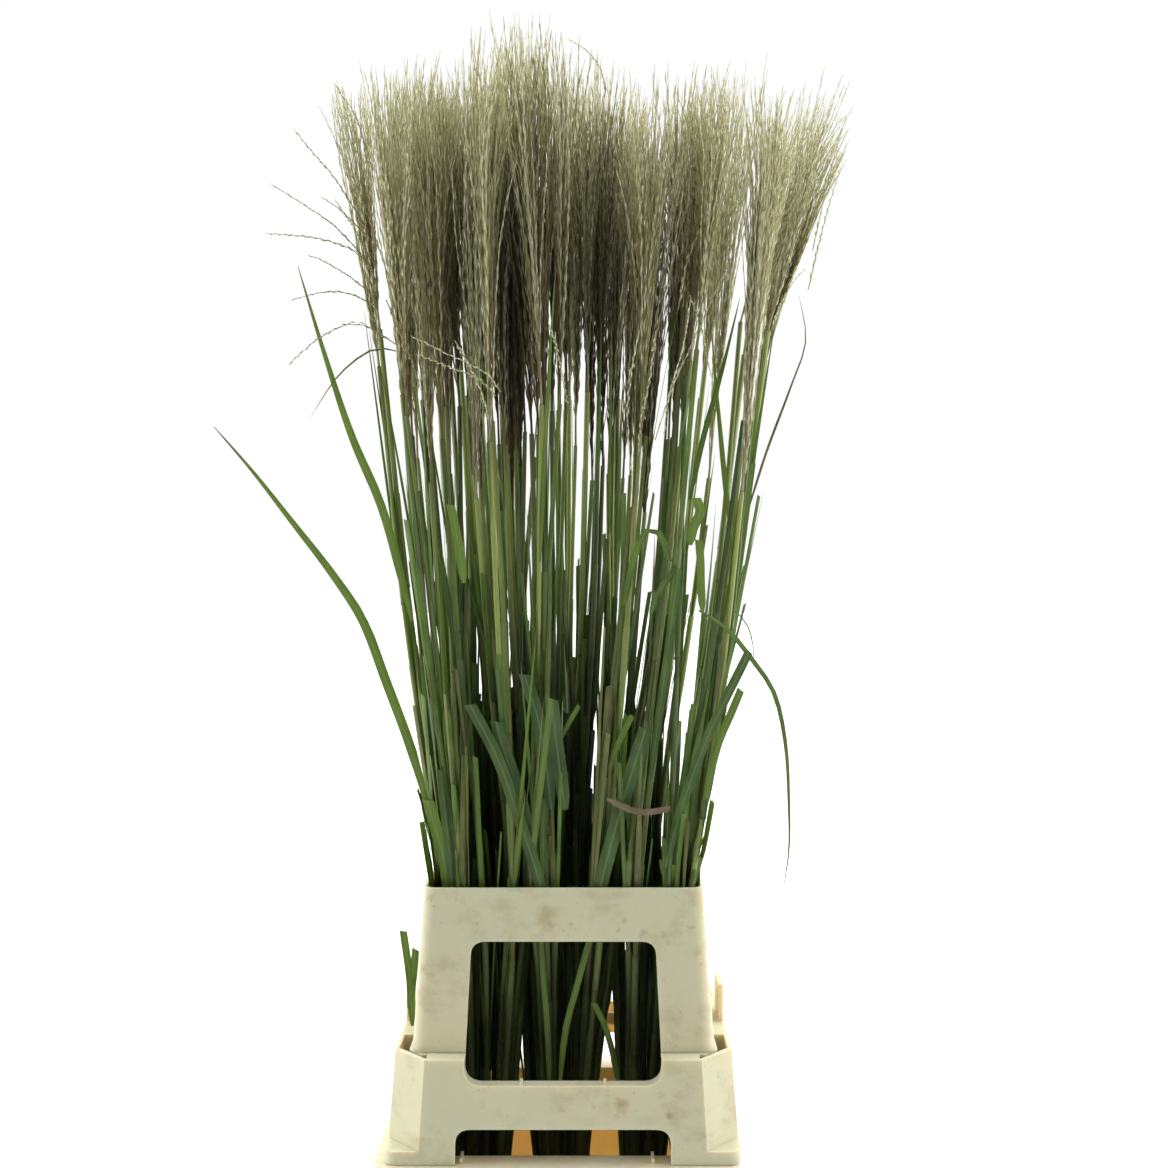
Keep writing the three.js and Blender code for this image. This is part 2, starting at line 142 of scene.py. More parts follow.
# Leaves told apart in the photograph: width, tints, whether cut back, and the points they pass
LEAVES = {
    "far_left": {"width": 10, "light": 0.5, "points": [
        (-136, -100, 668), (-158, -92, 740), (-185, -84, 809), (-211, -76, 873), (-243, -68, 920),
        (-290, -60, 979), (-333, -52, 1032), (-376, -44, 1080),
    ]},
    "left": {"width": 9, "light": 0.5, "points": [
        (-158, -82, 872), (-191, -72, 990), (-224, -64, 1066), (-256, -58, 1160), (-284, -52, 1250),
    ]},
    "right_wisp": {"width": 2.8, "dry": 0.6, "points": [
        (198, -20, 985), (221, -10, 1055), (250, 0, 1130), (268, 10, 1182), (262, 20, 1235),
    ]},
    "arching": {"width": 5, "points": [
        (138, -116, 884), (167, -100, 866), (194, -84, 835), (221, -68, 797), (235, -56, 743),
        (240, -48, 679), (241, -42, 625), (235, -38, 579),
    ]},
    "cut_right": {"width": 9.5, "blue": 0.6, "cut": True, "points": [
        (104, -104, 620), (120, -110, 680), (145, -118, 752), (188, -126, 843),
    ]},
    "looped": {"width": 7, "cut": True, "points": [
        (62, -118, 890), (74, -122, 945), (88, -126, 968), (99, -124, 960), (107, -120, 934),
    ]},
    "bright": {"width": 9, "light": 0.55, "cut": True, "points": [
        (-101, -118, 912), (-106, -120, 950), (-114, -122, 991),
    ]},
    "square_cut_left": {"width": 13, "blue": 1.0, "cut": True, "points": [
        (-12, -108, 680), (-23, -118, 763), (-39, -122, 819),
    ]},
    "square_cut_right": {"width": 14, "blue": 0.9, "cut": True, "points": [
        (2, -108, 680), (-6, -116, 740), (-12, -120, 794),
    ]},
    "front_left": {"width": 12, "blue": 0.7, "cut": True, "points": [
        (-17, -99, 560), (-24, -100, 601), (-45, -108, 669), (-66, -117, 732), (-94, -126, 789),
    ]},
    "front_right": {"width": 15, "blue": 0.8, "cut": True, "points": [
        (29, -98, 560), (38, -100, 601), (58, -112, 680), (83, -122, 763),
    ]},
    "dry": {"width": 6.5, "dry": 1.0, "cut": True, "points": [
        (44, -124, 694), (76, -128, 681), (108, -126, 684),
    ]},
    "side_stub": {"width": 8, "cut": True, "points": [
        (-162, -52, 440), (-165, -50, 490), (-172, -48, 540),
    ]},
}

# Smaller blades and stubs that can be told apart, in the same terms, cut back if not said
SMALL_BLADES = [
    {"width": 13.4, "light": 0.3, "points": [
        (-119, -88, 578), (-122, -93, 617), (-131, -97, 655), (-140, -102, 689),
    ]},
    {"width": 9.3, "blue": 0.6, "points": [
        (-115, -90, 578), (-117, -95, 618), (-121, -99, 668), (-126, -104, 720),
    ]},
    {"width": 12.4, "points": [
        (-121, -90, 729), (-125, -93, 760), (-130, -97, 786), (-134, -100, 812),
    ]},
    {"width": 8.2, "light": 0.4, "points": [
        (-115, -95, 688), (-116, -98, 719), (-119, -102, 751), (-120, -105, 780),
    ]},
    {"width": 14, "blue": 0.8, "points": [
        (-25, -92, 579), (-33, -99, 637), (-47, -105, 700), (-62, -111, 744), (-68, -118, 771),
    ]},
    {"width": 5.1, "points": [
        (-16, -100, 699), (-8, -104, 742), (4, -108, 766), (16, -112, 787),
    ]},
    {"width": 8.2, "light": 0.4, "points": [
        (145, -100, 689), (159, -104, 748), (170, -108, 775), (181, -112, 803),
    ]},
    {"width": 6.1, "light": 0.3, "points": [
        (46, -100, 714), (54, -105, 742), (62, -110, 760), (70, -115, 777),
    ]},
    {"width": 6.2, "blue": 0.3, "points": [
        (89, -100, 879), (98, -103, 903), (107, -107, 916), (116, -110, 929),
    ]},
    {"width": 8.3, "light": 0.7, "points": [
        (144, -90, 882), (142, -93, 910), (141, -97, 936), (139, -100, 956),
    ]},
    {"width": 10.2, "light": 0.6, "points": [
        (130, -100, 951), (133, -103, 968), (140, -107, 985), (136, -110, 999),
    ]},
    {"width": 7.2, "points": [
        (110, -95, 580), (108, -97, 602), (104, -98, 614), (102, -100, 627),
    ]},
    {"width": 10.3, "light": 0.3, "points": [
        (113, -90, 578), (114, -93, 595), (115, -97, 608), (116, -100, 621),
    ]},
    {"width": 6.2, "light": 0.2, "points": [
        (130, -90, 578), (133, -93, 599), (137, -97, 614), (141, -100, 630),
    ]},
    {"width": 8.7, "points": [
        (-166, -35, 447), (-166, -35, 465), (-163, -35, 492), (-161, -35, 517),
    ]},
    {"width": 6, "cut": False, "points": [
        (134, -50, 1001), (147, -57, 1064), (167, -63, 1137), (185, -70, 1212),
    ]},
    {"width": 5.6, "cut": False, "light": 0.6, "points": [
        (182, -30, 959), (175, -37, 1002), (166, -43, 1087), (157, -50, 1179),
    ]},
    {"width": 2.1, "cut": False, "dry": 0.4, "points": [
        (-174, -60, 1157), (-199, -67, 1159), (-232, -73, 1135), (-248, -77, 1113), (-265, -80, 1084),
    ]},
    {"width": 1.4, "cut": False, "points": [
        (169, -70, 891), (177, -75, 885), (191, -80, 869), (197, -85, 846), (196, -90, 811),
    ]},
    {"width": 6.5, "light": 0.3, "points": [
        (-4, -90, 392), (2, -89, 449), (14, -89, 495), (27, -88, 542), (40, -88, 583),
    ]},
    {"width": 5.8, "light": 0.1, "points": [
        (-15, -85, 390), (-17, -85, 447), (-21, -85, 499), (-24, -85, 546),
    ]},
    {"width": 6.2, "points": [
        (57, -80, 388), (50, -84, 426), (41, -88, 456), (31, -92, 477),
    ]},
]

# Single flower strands that stand away from their plumes, from the stalk to the tip
STRAYS = [
    [(-218, -20, 1301), (-249, -35, 1350), (-272, -43, 1376), (-289, -50, 1397)],
    [(-210, -20, 1256), (-246, -36, 1295), (-298, -52, 1328), (-311, -60, 1335)],
    [(-208, -20, 1249), (-226, -24, 1271), (-265, -32, 1284), (-322, -40, 1288)],
    [(-205, -20, 1221), (-226, -28, 1239), (-260, -43, 1258), (-274, -50, 1262)],
    [(-203, -20, 1212), (-231, -28, 1225), (-255, -32, 1227), (-295, -40, 1216)],
    [(-172, -100, 1157), (-210, -109, 1177), (-244, -114, 1164), (-279, -120, 1133)],
    [(-215, -20, 1290), (-232, -35, 1305), (-245, -43, 1316), (-260, -50, 1324)],
    [(-209, -30, 1260), (-225, -45, 1292), (-234, -52, 1305), (-243, -60, 1319)],
    [(-182, -60, 1223), (-213, -65, 1316), (-235, -75, 1366), (-241, -80, 1379)],
    [(-205, -50, 1353), (-223, -60, 1411), (-234, -65, 1425), (-241, -70, 1438)],
    [(-63, -130, 1104), (-77, -134, 1122), (-117, -142, 1141), (-151, -150, 1157)],
    [(-68, -130, 1100), (-84, -134, 1116), (-113, -142, 1127), (-146, -150, 1139)],
    [(-178, -130, 1197), (-158, -138, 1149), (-149, -142, 1128), (-132, -150, 1074)],
    [(-15, -140, 1172), (-9, -143, 1155), (-2, -147, 1124), (5, -150, 1087)],
    [(-109, -130, 1156), (-92, -137, 1125), (-81, -143, 1101), (-73, -150, 1071)],
    [(45, -30, 1446), (38, -37, 1467), (25, -43, 1482), (4, -50, 1493)],
    [(277, 20, 1285), (293, 23, 1354), (305, 27, 1400), (318, 30, 1442)],
    [(272, 20, 1241), (286, 23, 1298), (300, 27, 1348), (311, 30, 1382)],
    [(117, -110, 1191), (127, -107, 1242), (144, -105, 1282), (187, -100, 1337)],
    [(93, -120, 1057), (110, -116, 1108), (146, -108, 1189), (179, -100, 1260)],
    [(228, 0, 1192), (238, 0, 1220), (254, 0, 1247), (266, 0, 1260)],
    [(129, -110, 1206), (141, -115, 1169), (146, -118, 1140), (151, -120, 1118)],
    [(77, -130, 1166), (67, -133, 1116), (65, -137, 1065), (69, -140, 1017)],
    [(93, -130, 1166), (87, -133, 1116), (78, -137, 1075), (75, -140, 1040)],
    [(128, -130, 1197), (121, -133, 1151), (105, -137, 1095), (101, -140, 1055)],
]


# Settings that a user would change
def colour_setting(name, description, default):
    return FloatVectorProperty(
        name=name, description=description, subtype="COLOR", size=3, min=0, max=1, default=default
    )


class HolderSettings(bpy.types.PropertyGroup):
    """The plastic bucket and its two collars."""

    collar_colour: colour_setting(
        "Collar plastic", "Colour of the two collars' clean plastic", (0.77, 0.70, 0.485)
    )
    bucket_colour: colour_setting(
        "Bucket plastic", "Colour of the bucket's clean plastic", (0.78, 0.72, 0.53)
    )
    wall_softness: FloatVectorProperty(
        name="Light through the plastic",
        description="How far red, green and blue light spread inside a wall",
        unit="LENGTH",
        size=3,
        min=0,
        default=(10.0 * MM, 6.3 * MM, 5.0 * MM),
    )
    grime: FloatProperty(
        name="Grime",
        description="How strongly stains and smudges show",
        subtype="FACTOR",
        min=0,
        max=1,
        default=0.36,
    )
    edge_radius: FloatProperty(
        name="Edge rounding",
        description="How far the moulded edges are rounded",
        unit="LENGTH",
        min=0,
        default=0.9 * MM,
    )


class GrassSettings(bpy.types.PropertyGroup):
    """Canes, plumes and leaves."""

    seed: IntProperty(name="Seed", description="Starts the chance variation", default=7)
    cane_radius: FloatProperty(
        name="Cane radius",
        description="Radius of a cane at its cut end",
        unit="LENGTH",
        default=3.5 * MM,
    )
    strands: IntProperty(
        name="Strands in a plume",
        description="Flower strands that branch from each plume's stalk",
        default=28,
    )
    strand_spread: FloatProperty(
        name="Plume spread",
        description="How far strands lean out, as a share of their length",
        subtype="FACTOR",
        default=0.085,
    )
    cane_colour: colour_setting("Cane", "Colour of the lightest green canes", (0.40, 0.48, 0.125))
    leaf_colour: colour_setting("Leaf", "Colour of a fresh leaf", (0.18, 0.30, 0.048))
    plume_colour: colour_setting(
        "Plume tips", "Colour of the flower strands at their tips", (0.92, 0.93, 0.65)
    )


class StudioSettings(bpy.types.PropertyGroup):
    """Camera, light and floor."""

    camera_place: FloatVectorProperty(
        name="Camera",
        description="Where the camera stands, looking level along +Y",
        subtype="TRANSLATION",
        size=3,
        default=(0.021, -1.4375, 0.911),
    )
    lens: FloatProperty(
        name="Lens",
        description="Focal length on a 36 mm sensor",
        default=40.07,
    )
    front_light: FloatProperty(
        name="Light from the front",
        description="Brightness of the surroundings on the camera's side",
        default=0.26,
    )
    back_light: FloatProperty(
        name="Light from behind",
        description="Brightness of the surroundings beyond the object",
        default=1.6,
    )
    side_light: FloatProperty(
        name="Light from the sides",
        description="Brightness of the surroundings to the left and right",
        default=4.2,
    )
    softbox_power: FloatProperty(
        name="Softbox",
        description="Power of the light overhead",
        unit="POWER",
        default=14,
    )
    show_floor: BoolProperty(name="Floor", description="Lay the pale floor", default=True)


# Shader nodes
def socket_of(sockets, key):
    """A node's socket by its place, its identifier or its name."""
    if isinstance(key, int):
        return sockets[key]
    return next(socket for socket in sockets if key in (socket.identifier, socket.name))


class Number:
    """A node's output; arithmetic on it adds Math nodes."""

    def __init__(self, nodes, socket):
        self.nodes = nodes
        self.socket = socket

    def math(self, operation, *values):
        return self.nodes.add("ShaderNodeMath", {"operation": operation}, dict(enumerate(values)))

    def __add__(self, other):
        return self.math("ADD", self, other)

    def __sub__(self, other):
        return self.math("SUBTRACT", self, other)

    def __rsub__(self, other):
        return self.math("SUBTRACT", other, self)

    def __mul__(self, other):
        return self.math("MULTIPLY", self, other)

    def __abs__(self):
        return self.math("ABSOLUTE", self)

    __radd__ = __add__
    __rmul__ = __mul__


class Nodes:
    """The nodes of one material or of the world."""

    def __init__(self, tree):
        self.tree = tree
        tree.nodes.clear()

    def add(self, kind, settings=None, inputs=None, output=0):
        """Adds a node: first its settings, then the values or links of its sockets."""
        node = self.tree.nodes.new(kind)
        for name, value in (settings or {}).items():
            if name == "stops":
                self.set_stops(node.color_ramp, value)
            else:
                setattr(node, name, value)
        for key, value in (inputs or {}).items():
            socket = socket_of(node.inputs, key)
            if isinstance(value, Number):
                self.tree.links.new(value.socket, socket)
            else:
                socket.default_value = value
        return Number(self, socket_of(node.outputs, output)) if node.outputs else node

    def set_stops(self, ramp, stops):
        while len(ramp.elements) < len(stops):
            ramp.elements.new(1)
        for element, (position, colour) in zip(ramp.elements, stops):
            element.position = position
            element.color = colour

    def place(self):
        return self.add("ShaderNodeTexCoord", output="Object")

    def coordinate(self, place, axis):
        return self.add("ShaderNodeSeparateXYZ", inputs={0: place}, output=axis)

    def distance(self, place, spot):
        settings = {"operation": "DISTANCE"}
        return self.add("ShaderNodeVectorMath", settings, {0: place, 1: spot}, "Value")

    def stretched(self, place, scale):
        return self.add("ShaderNodeMapping", inputs={"Vector": place, "Scale": scale})

    def painted_deep_shade(self, place, half_size, edge, heights):
        """How much painted shade falls on the grass: 1 deep among it, 0 at its outside and on top.

        Inside the collars the ends of the bunches get painted shade too, but less of it."""
        side, depth = (abs(self.coordinate(place, axis)) for axis in "XY")
        height = self.coordinate(place, "Z")
        above = self.rise(height, *LEAVING_COLLARS)
        outside = self.rise(side, COLLAR_SHOULDER.x - 4 * MM, COLLAR_SHOULDER.x + 2 * MM)
        beside = side * (1 / half_size[0]) * above + outside * (1 - above)
        outwards = beside.math("MAXIMUM", beside, depth * (1 / half_size[1]))
        shade = (1 - self.rise(outwards, *edge)) * (1 - self.rise(height, *heights))
        return shade * (above * (1 - SHADE_IN_COLLARS) + SHADE_IN_COLLARS)

    def attribute(self, name):
        return self.add("ShaderNodeAttribute", {"attribute_name": name}, output="Fac")

    def noise(self, place, scale, detail=4.0, roughness=0.55):
        settings = {"Vector": place, "Scale": scale, "Detail": detail, "Roughness": roughness}
        return self.add("ShaderNodeTexNoise", inputs=settings)

    def rise(self, value, low, high):
        """0 below low, 1 above high, and a smooth step between them."""
        inputs = {"Value": value, "From Min": low, "From Max": high}
        return self.add("ShaderNodeMapRange", {"interpolation_type": "SMOOTHSTEP"}, inputs)

    def ramp(self, value, stops):
        return self.add("ShaderNodeValToRGB", {"stops": stops}, {"Fac": value}, "Color")

    def mix(self, share, first, second):
        """A colour between two."""
        inputs = {"Factor_Float": share, "A_Color": first, "B_Color": second}
        return self.add("ShaderNodeMix", {"data_type": "RGBA"}, inputs, "Result_Color")

    def bump(self, height, strength, distance):
        inputs = {"Height": height, "Strength": strength, "Distance": distance}
        return self.add("ShaderNodeBump", inputs=inputs)

    def finish(self, skin, through=None, share=0.0):
        """Sets the surface, with a share of it letting light through in a colour."""
        shader = self.add("ShaderNodeBsdfPrincipled", inputs=skin)
        if through:
            passing = self.add("ShaderNodeBsdfTranslucent", inputs=through)
            shader = self.add("ShaderNodeMixShader", inputs={0: share, 1: shader, 2: passing})
        self.add("ShaderNodeOutputMaterial", inputs={"Surface": shader})


def opaque(colour, shade=1.0):
    """A colour with its alpha, darkened or lightened evenly."""
    return (*(min(1.0, c * shade) for c in colour), 1.0)


def new_material(name):
    material = bpy.data.materials.new(name)
    material.use_nodes = True
    return material, Nodes(material.node_tree)


def plastic_material(name, colour, softness, grime, marks=()):
    """Moulded cream plastic: yellowed in clouds, smudged, specked, and glowing where backlit."""
    material, nodes = new_material(name)
    place = nodes.place()
    cloud = nodes.rise(nodes.noise(place, 7, 3), 0.35, 0.68)
    smear = nodes.noise(nodes.stretched(place, (24, 24, 34)), 1, 7, 0.68)
    smudge = nodes.rise(smear, 0.48, 0.70)
    blot = nodes.rise(nodes.noise(place, 60, 3, 0.6), 0.62, 0.74)
    speck = nodes.rise(nodes.noise(place, 420, 2), 0.70, 0.76)
    clean = nodes.mix(cloud * 0.4, opaque(colour), opaque(colour, 0.93))
    dusty = nodes.mix(smudge * grime, clean, opaque((0.44, 0.375, 0.22)))
    stained = nodes.mix(blot * (0.8 * grime), dusty, opaque((0.30, 0.26, 0.10)))
    for spot, reach, strength in marks:
        near = 1 - nodes.rise(nodes.distance(place, Vector(spot) * MM), 0.0, reach * MM)
        patch = nodes.rise(smear * 0.9 + near * 0.36, 0.55, 0.90)
        stained = nodes.mix(patch * near * strength, stained, opaque((0.38, 0.33, 0.12)))
    finish = nodes.mix(speck * 0.5, stained, opaque((0.16, 0.14, 0.09)))
    scuff = nodes.noise(nodes.stretched(place, (90, 90, 700)), 1, 3, 0.6)
    grain = nodes.noise(place, 1500, 2)
    skin = {
        "Base Color": finish,
        "Roughness": smear * 0.25 + 0.36,
        "Normal": nodes.bump(scuff * 0.6 + grain * 0.4, 0.16, 0.4 * MM),
        "Specular IOR Level": 0.4,
        "Subsurface Weight": 1.0,
        "Subsurface Radius": tuple(softness),
        "Subsurface Scale": 1.0,
    }
    nodes.finish(skin)
    return material


def rubber_material():
    """A tan rubber band, chalky where it is stretched."""
    material, nodes = new_material("band_rubber")
    place = nodes.place()
    chalk = nodes.rise(nodes.noise(place, 240, 4, 0.6), 0.4, 0.75)
    colour = nodes.mix(chalk, opaque((0.42, 0.25, 0.11)), opaque((0.58, 0.42, 0.24)))
    ridge = nodes.noise(nodes.stretched(place, (80, 80, 2600)), 1, 2)
    skin = {
        "Base Color": colour,
        "Roughness": chalk * 0.25 + 0.5,
        "Normal": nodes.bump(ridge, 0.3, 0.2 * MM),
    }
    nodes.finish(skin, {"Color": opaque((0.6, 0.36, 0.14))}, 0.12)
    return material


def cane_material(light):
    """A jointed green cane: streaked lengthwise, darker at its joints, olive and brown above."""
    material, nodes = new_material("cane")
    place = nodes.place()
    streak = nodes.noise(nodes.stretched(place, (700, 700, 7)), 1, 4, 0.6)
    patch = nodes.noise(nodes.stretched(place, (60, 60, 14)), 1, 3, 0.6)
    tone = nodes.attribute("tone")
    sheath = nodes.attribute("sheath")
    joint = nodes.attribute("joint")
    along = nodes.attribute("along")
    warm = nodes.attribute("warm")
    shade = nodes.rise(tone * 0.75 + streak * 0.5, 0.2, 1.05)
    green = nodes.mix(shade, opaque((0.045, 0.075, 0.022)), opaque(light))
    cool = nodes.mix(0.24 - warm * 0.24, green, opaque((0.11, 0.17, 0.06)))
    pale = nodes.mix(sheath * 0.3, cool, opaque((0.21, 0.29, 0.12)))
    olive = nodes.rise(along + patch * 0.2 + warm * 0.1, 1.06, 1.24)
    upper = nodes.mix(olive * 0.6, pale, opaque((0.17, 0.14, 0.07)))
    ringed = nodes.mix(joint * 0.6, upper, opaque((0.10, 0.075, 0.04)))
    # Painted shade: deep among the grass the canes are darkened almost to black
    painted_shade = nodes.painted_deep_shade(place, *AMONG_CANES)
    skin = {
        "Base Color": nodes.mix(painted_shade * 0.96, ringed, opaque((0.011, 0.014, 0.005))),
        "Roughness": painted_shade * 0.3 + sheath * 0.1 + (streak * 0.2 + 0.32),
        "Normal": nodes.bump(streak, 0.25, 0.5 * MM),
        "Specular IOR Level": 0.26,
    }
    nodes.finish(skin)
    return material


def leaf_material(fresh):
    """A grass blade with a pale midrib and close veins, green, bluish or dried."""
    material, nodes = new_material("leaf")
    place = nodes.place()
    across = nodes.attribute("across")
    along = nodes.attribute("along")
    vein = across.math("SINE", across * 46.0) * 0.5 + 0.5
    patch = nodes.noise(nodes.stretched(place, (70, 70, 20)), 1, 4, 0.6)
    midrib = 1 - nodes.rise(abs(across), 0.05, 0.16)
    shade = nodes.rise(patch, 0.25, 0.75)
    green = nodes.mix(shade, opaque(fresh, 0.5), opaque(fresh, 1.15))
    cool = nodes.mix(shade, opaque((0.05, 0.10, 0.04)), opaque((0.13, 0.22, 0.085)))
    straw = nodes.mix(shade, opaque((0.16, 0.11, 0.06)), opaque((0.36, 0.29, 0.17)))
    tinted = nodes.mix(nodes.attribute("blue"), green, cool)
    bright = nodes.mix(nodes.attribute("light"), tinted, opaque((0.30, 0.46, 0.07)))
    veined = nodes.mix(vein * 0.22, bright, opaque(fresh, 0.35))
    ribbed = nodes.mix(midrib * 0.5, veined, opaque((0.34, 0.44, 0.27)))
    tip = nodes.rise(along + patch * 0.12, 0.93, 1.06)
    aged = nodes.mix(tip * 0.8, ribbed, opaque((0.19, 0.13, 0.10)))
    dried = nodes.mix(nodes.attribute("dry"), aged, straw)
    # Painted shade: deep among the grass the blades are darkened almost to black
    painted_shade = nodes.painted_deep_shade(place, *AMONG_CANES)
    skin = {
        "Base Color": nodes.mix(painted_shade * 0.96, dried, opaque((0.012, 0.018, 0.006))),
        "Roughness": painted_shade * 0.3 + (patch * 0.2 + 0.34),
        "Normal": nodes.bump(vein + midrib, 0.22, 0.3 * MM),
        "Specular IOR Level": 0.32,
    }
    nodes.finish(skin, {"Color": opaque((0.28, 0.42, 0.06))}, 0.30)
    return material


def plume_material(tips):
    """Flower strands with paler husks, buff at their tips and brown at their foot, the brown partly
    their own and partly painted shade; painted light pales plumes at the sides, painted shade
    darkens those deep among the grass.
    """
    material, nodes = new_material("plume")
    place = nodes.place()
    along = nodes.attribute("along")
    tone = nodes.attribute("tone")
    husk = nodes.attribute("husk")
    fleck = nodes.noise(place, 260, 3, 0.6)
    # Painted side light: plumes towards the sides are pushed towards their pale tip colour
    painted_side_light = nodes.rise(abs(nodes.coordinate(place, "X")), 0.09, 0.22)
    ripeness_and_side_light = nodes.rise(along * 0.45 + tone * 1.6 + fleck * 0.25 + painted_side_light * 0.32, 0.56, 1.56)
    # From a strand's foot to its tip: brown, partly its own colour and partly painted shade, to buff
    stops = [
        (0.0, (0.11, 0.080, 0.040, 1.0)),
        (0.25, (0.30, 0.27, 0.115, 1.0)),
        (0.6, (0.68, 0.68, 0.35, 1.0)),
        (1.0, opaque(tips)),
    ]
    strand = nodes.ramp(ripeness_and_side_light, stops)
    purple = nodes.mix(nodes.attribute("purple") * 0.8, strand, opaque((0.20, 0.13, 0.105)))
    veined = nodes.mix((1 - husk) * 0.6, purple, opaque((0.25, 0.20, 0.10)))
    # Painted shade: deep among the grass the plumes are darkened, their lightest strands less, and let
    # less light through
    painted_shade = nodes.painted_deep_shade(place, *AMONG_PLUMES)
    shaded = painted_shade * (0.86 - nodes.rise(tone, 0.50, 0.78) * 0.58)
    skin = {
        "Base Color": nodes.mix(shaded, veined, opaque((0.045, 0.034, 0.016))),
        "Roughness": fleck * 0.2 + 0.5,
        "Specular IOR Level": 0.25,
    }
    nodes.finish(skin, {"Color": opaque((0.90, 0.88, 0.60))}, 0.36 - shaded * 0.31)
    return material


def floor_material():
    """A plain pale studio floor, lit up behind the object."""
    material, nodes = new_material("studio_floor")
    behind = nodes.rise(nodes.coordinate(nodes.place(), "Y"), 0.1, 0.7)
    glow = nodes.mix(behind, opaque((0.0, 0.0, 0.0)), opaque((1.0, 1.0, 1.0)))
    skin = {
        "Base Color": opaque((0.62, 0.62, 0.62)),
        "Roughness": 0.8,
        "Emission Color": glow,
        "Emission Strength": 0.6,
    }
    nodes.finish(skin)
    return material


# Curves
def spline(points, steps):
    """Places on a smooth curve through the points, with short spans kept from looping."""
    ends = 2 * points[0] - points[1], 2 * points[-1] - points[-2]
    line = [ends[0], *points, ends[1]]
    places = []
    for a, b, c, d in zip(line, line[1:], line[2:], line[3:]):
        before, here, after = (max(sqrt((q - p).length), 1e-4) for p, q in ((a, b), (b, c), (c, d)))
        out = ((b - a) / before - (c - a) / (before + here) + (c - b) / here) * here
        into = ((c - b) / here - (d - b) / (here + after) + (d - c) / after) * here
        for step in range(steps):
            t = step / steps
            square = 3 * (c - b) - 2 * out - into
            cube = 2 * (b - c) + out + into
            places.append(b + out * t + square * t**2 + cube * t**3)
    return [*places, points[-1].copy()]


class Path:
    """A smooth curve through chosen points, measured along its length.

    With a margin it keeps that far from the upper collar's walls."""

    def __init__(self, points, steps=8, margin=None):
        self.places = spline([Vector(p) for p in points], steps)
        if margin is not None:
            self.places = [kept_inside(place, margin) for place in self.places]
        self.distances = [0.0]
        for here, there in zip(self.places, self.places[1:]):
            self.distances.append(self.distances[-1] + (there - here).length)
        self.length = self.distances[-1]

    def at(self, distance):
        """The place that far along, and the way the curve runs there."""
        last = len(self.places) - 2
        i = min(max(bisect(self.distances, distance) - 1, 0), last)
        here, there = self.places[i], self.places[i + 1]
        run = there - here
        share = (distance - self.distances[i]) / max(run.length, 1e-9)
        way = run.normalized()
        if 0.5 <= share and i < last:
            way = way.lerp((self.places[i + 2] - there).normalized(), share - 0.5).normalized()
        elif share < 0.5 and i > 0:
            way = way.lerp((here - self.places[i - 1]).normalized(), 0.5 - share).normalized()
        return here + run * share, way

    def distance_to_height(self, height):
        """How far along the curve first reaches a height."""
        reached = (i for i, place in enumerate(self.places) if place.z >= height)
        return self.distances[next(reached, len(self.places) - 1)]


def path_in_mm(points):
    return Path([Vector(point) * MM for point in points])


def even_shares(count):
    """Evenly spaced numbers from 0 to 1."""
    return [i / (count - 1) for i in range(count)]


def upright(place, way, size=1.0):
    """A frame at a place whose Z runs the given way, turned no more than it has to be."""
    turn = UP.rotation_difference(way).to_matrix().to_4x4()
    return Matrix.Translation(place) @ turn @ Matrix.Scale(size, 4)


def facing(place, way, towards, size=1.0):
    """A frame whose Z runs the given way and whose Y looks towards a direction."""
    across = way.cross(towards).normalized()
    frame_axes = Matrix((across, across.cross(way) * -1, way)).transposed()
    return Matrix.Translation(place) @ frame_axes.to_4x4() @ Matrix.Scale(size, 4)


# Meshes
def layer(bm, name):
    return bm.verts.layers.float.get(name) or bm.verts.layers.float.new(name)


def mark(bm, verts, values):
    """Sets the vertices' attributes, each to one number."""
    for name, value in values.items():
        where = layer(bm, name)
        for vert in verts:
            vert[where] = value


def sweep(bm, outline, frames, marks, across=None):
    """Carries a closed outline through frames and closes both ends."""
    for name in marks[0]:
        layer(bm, name)
    side = layer(bm, "across") if across else None
    ring = bmesh.ops.create_circle(bm, cap_ends=True, segments=len(outline), radius=1)["verts"]
    edges = list({edge for vert in ring for edge in vert.link_edges})
    for i, (vert, (x, y)) in enumerate(zip(ring, outline)):
        vert.co = frames[0] @ Vector((x, y, 0))
        if across:
            vert[side] = across[i]
    mark(bm, ring, marks[0])
    for before, after, values in zip(frames, frames[1:], marks[1:]):
        made = bmesh.ops.extrude_edge_only(bm, edges=edges)["geom"]
        ring = [part for part in made if isinstance(part, bmesh.types.BMVert)]
        edges = [part for part in made if isinstance(part, bmesh.types.BMEdge) and part.is_boundary]
        bmesh.ops.transform(bm, matrix=after @ before.inverted(), verts=ring)
        mark(bm, ring, values)
    bmesh.ops.edgeloop_fill(bm, edges=edges)


def mesh_of(name, bm):
    """Turns a finished bmesh into a mesh."""
    mesh = bpy.data.meshes.new(name)
    bm.to_mesh(mesh)
    bm.free()
    return mesh


def join(whole, part):
    """Moves a finished part into a larger bmesh."""
    mesh = mesh_of("part", part)
    whole.from_mesh(mesh)
    bpy.data.meshes.remove(mesh)


def new_object(name, data):
    made = bpy.data.objects.new(name, data)
    bpy.context.scene.collection.objects.link(made)
    return made


def circle_outline(sides):
    return [(cos(tau * i / sides), sin(tau * i / sides)) for i in range(sides)]


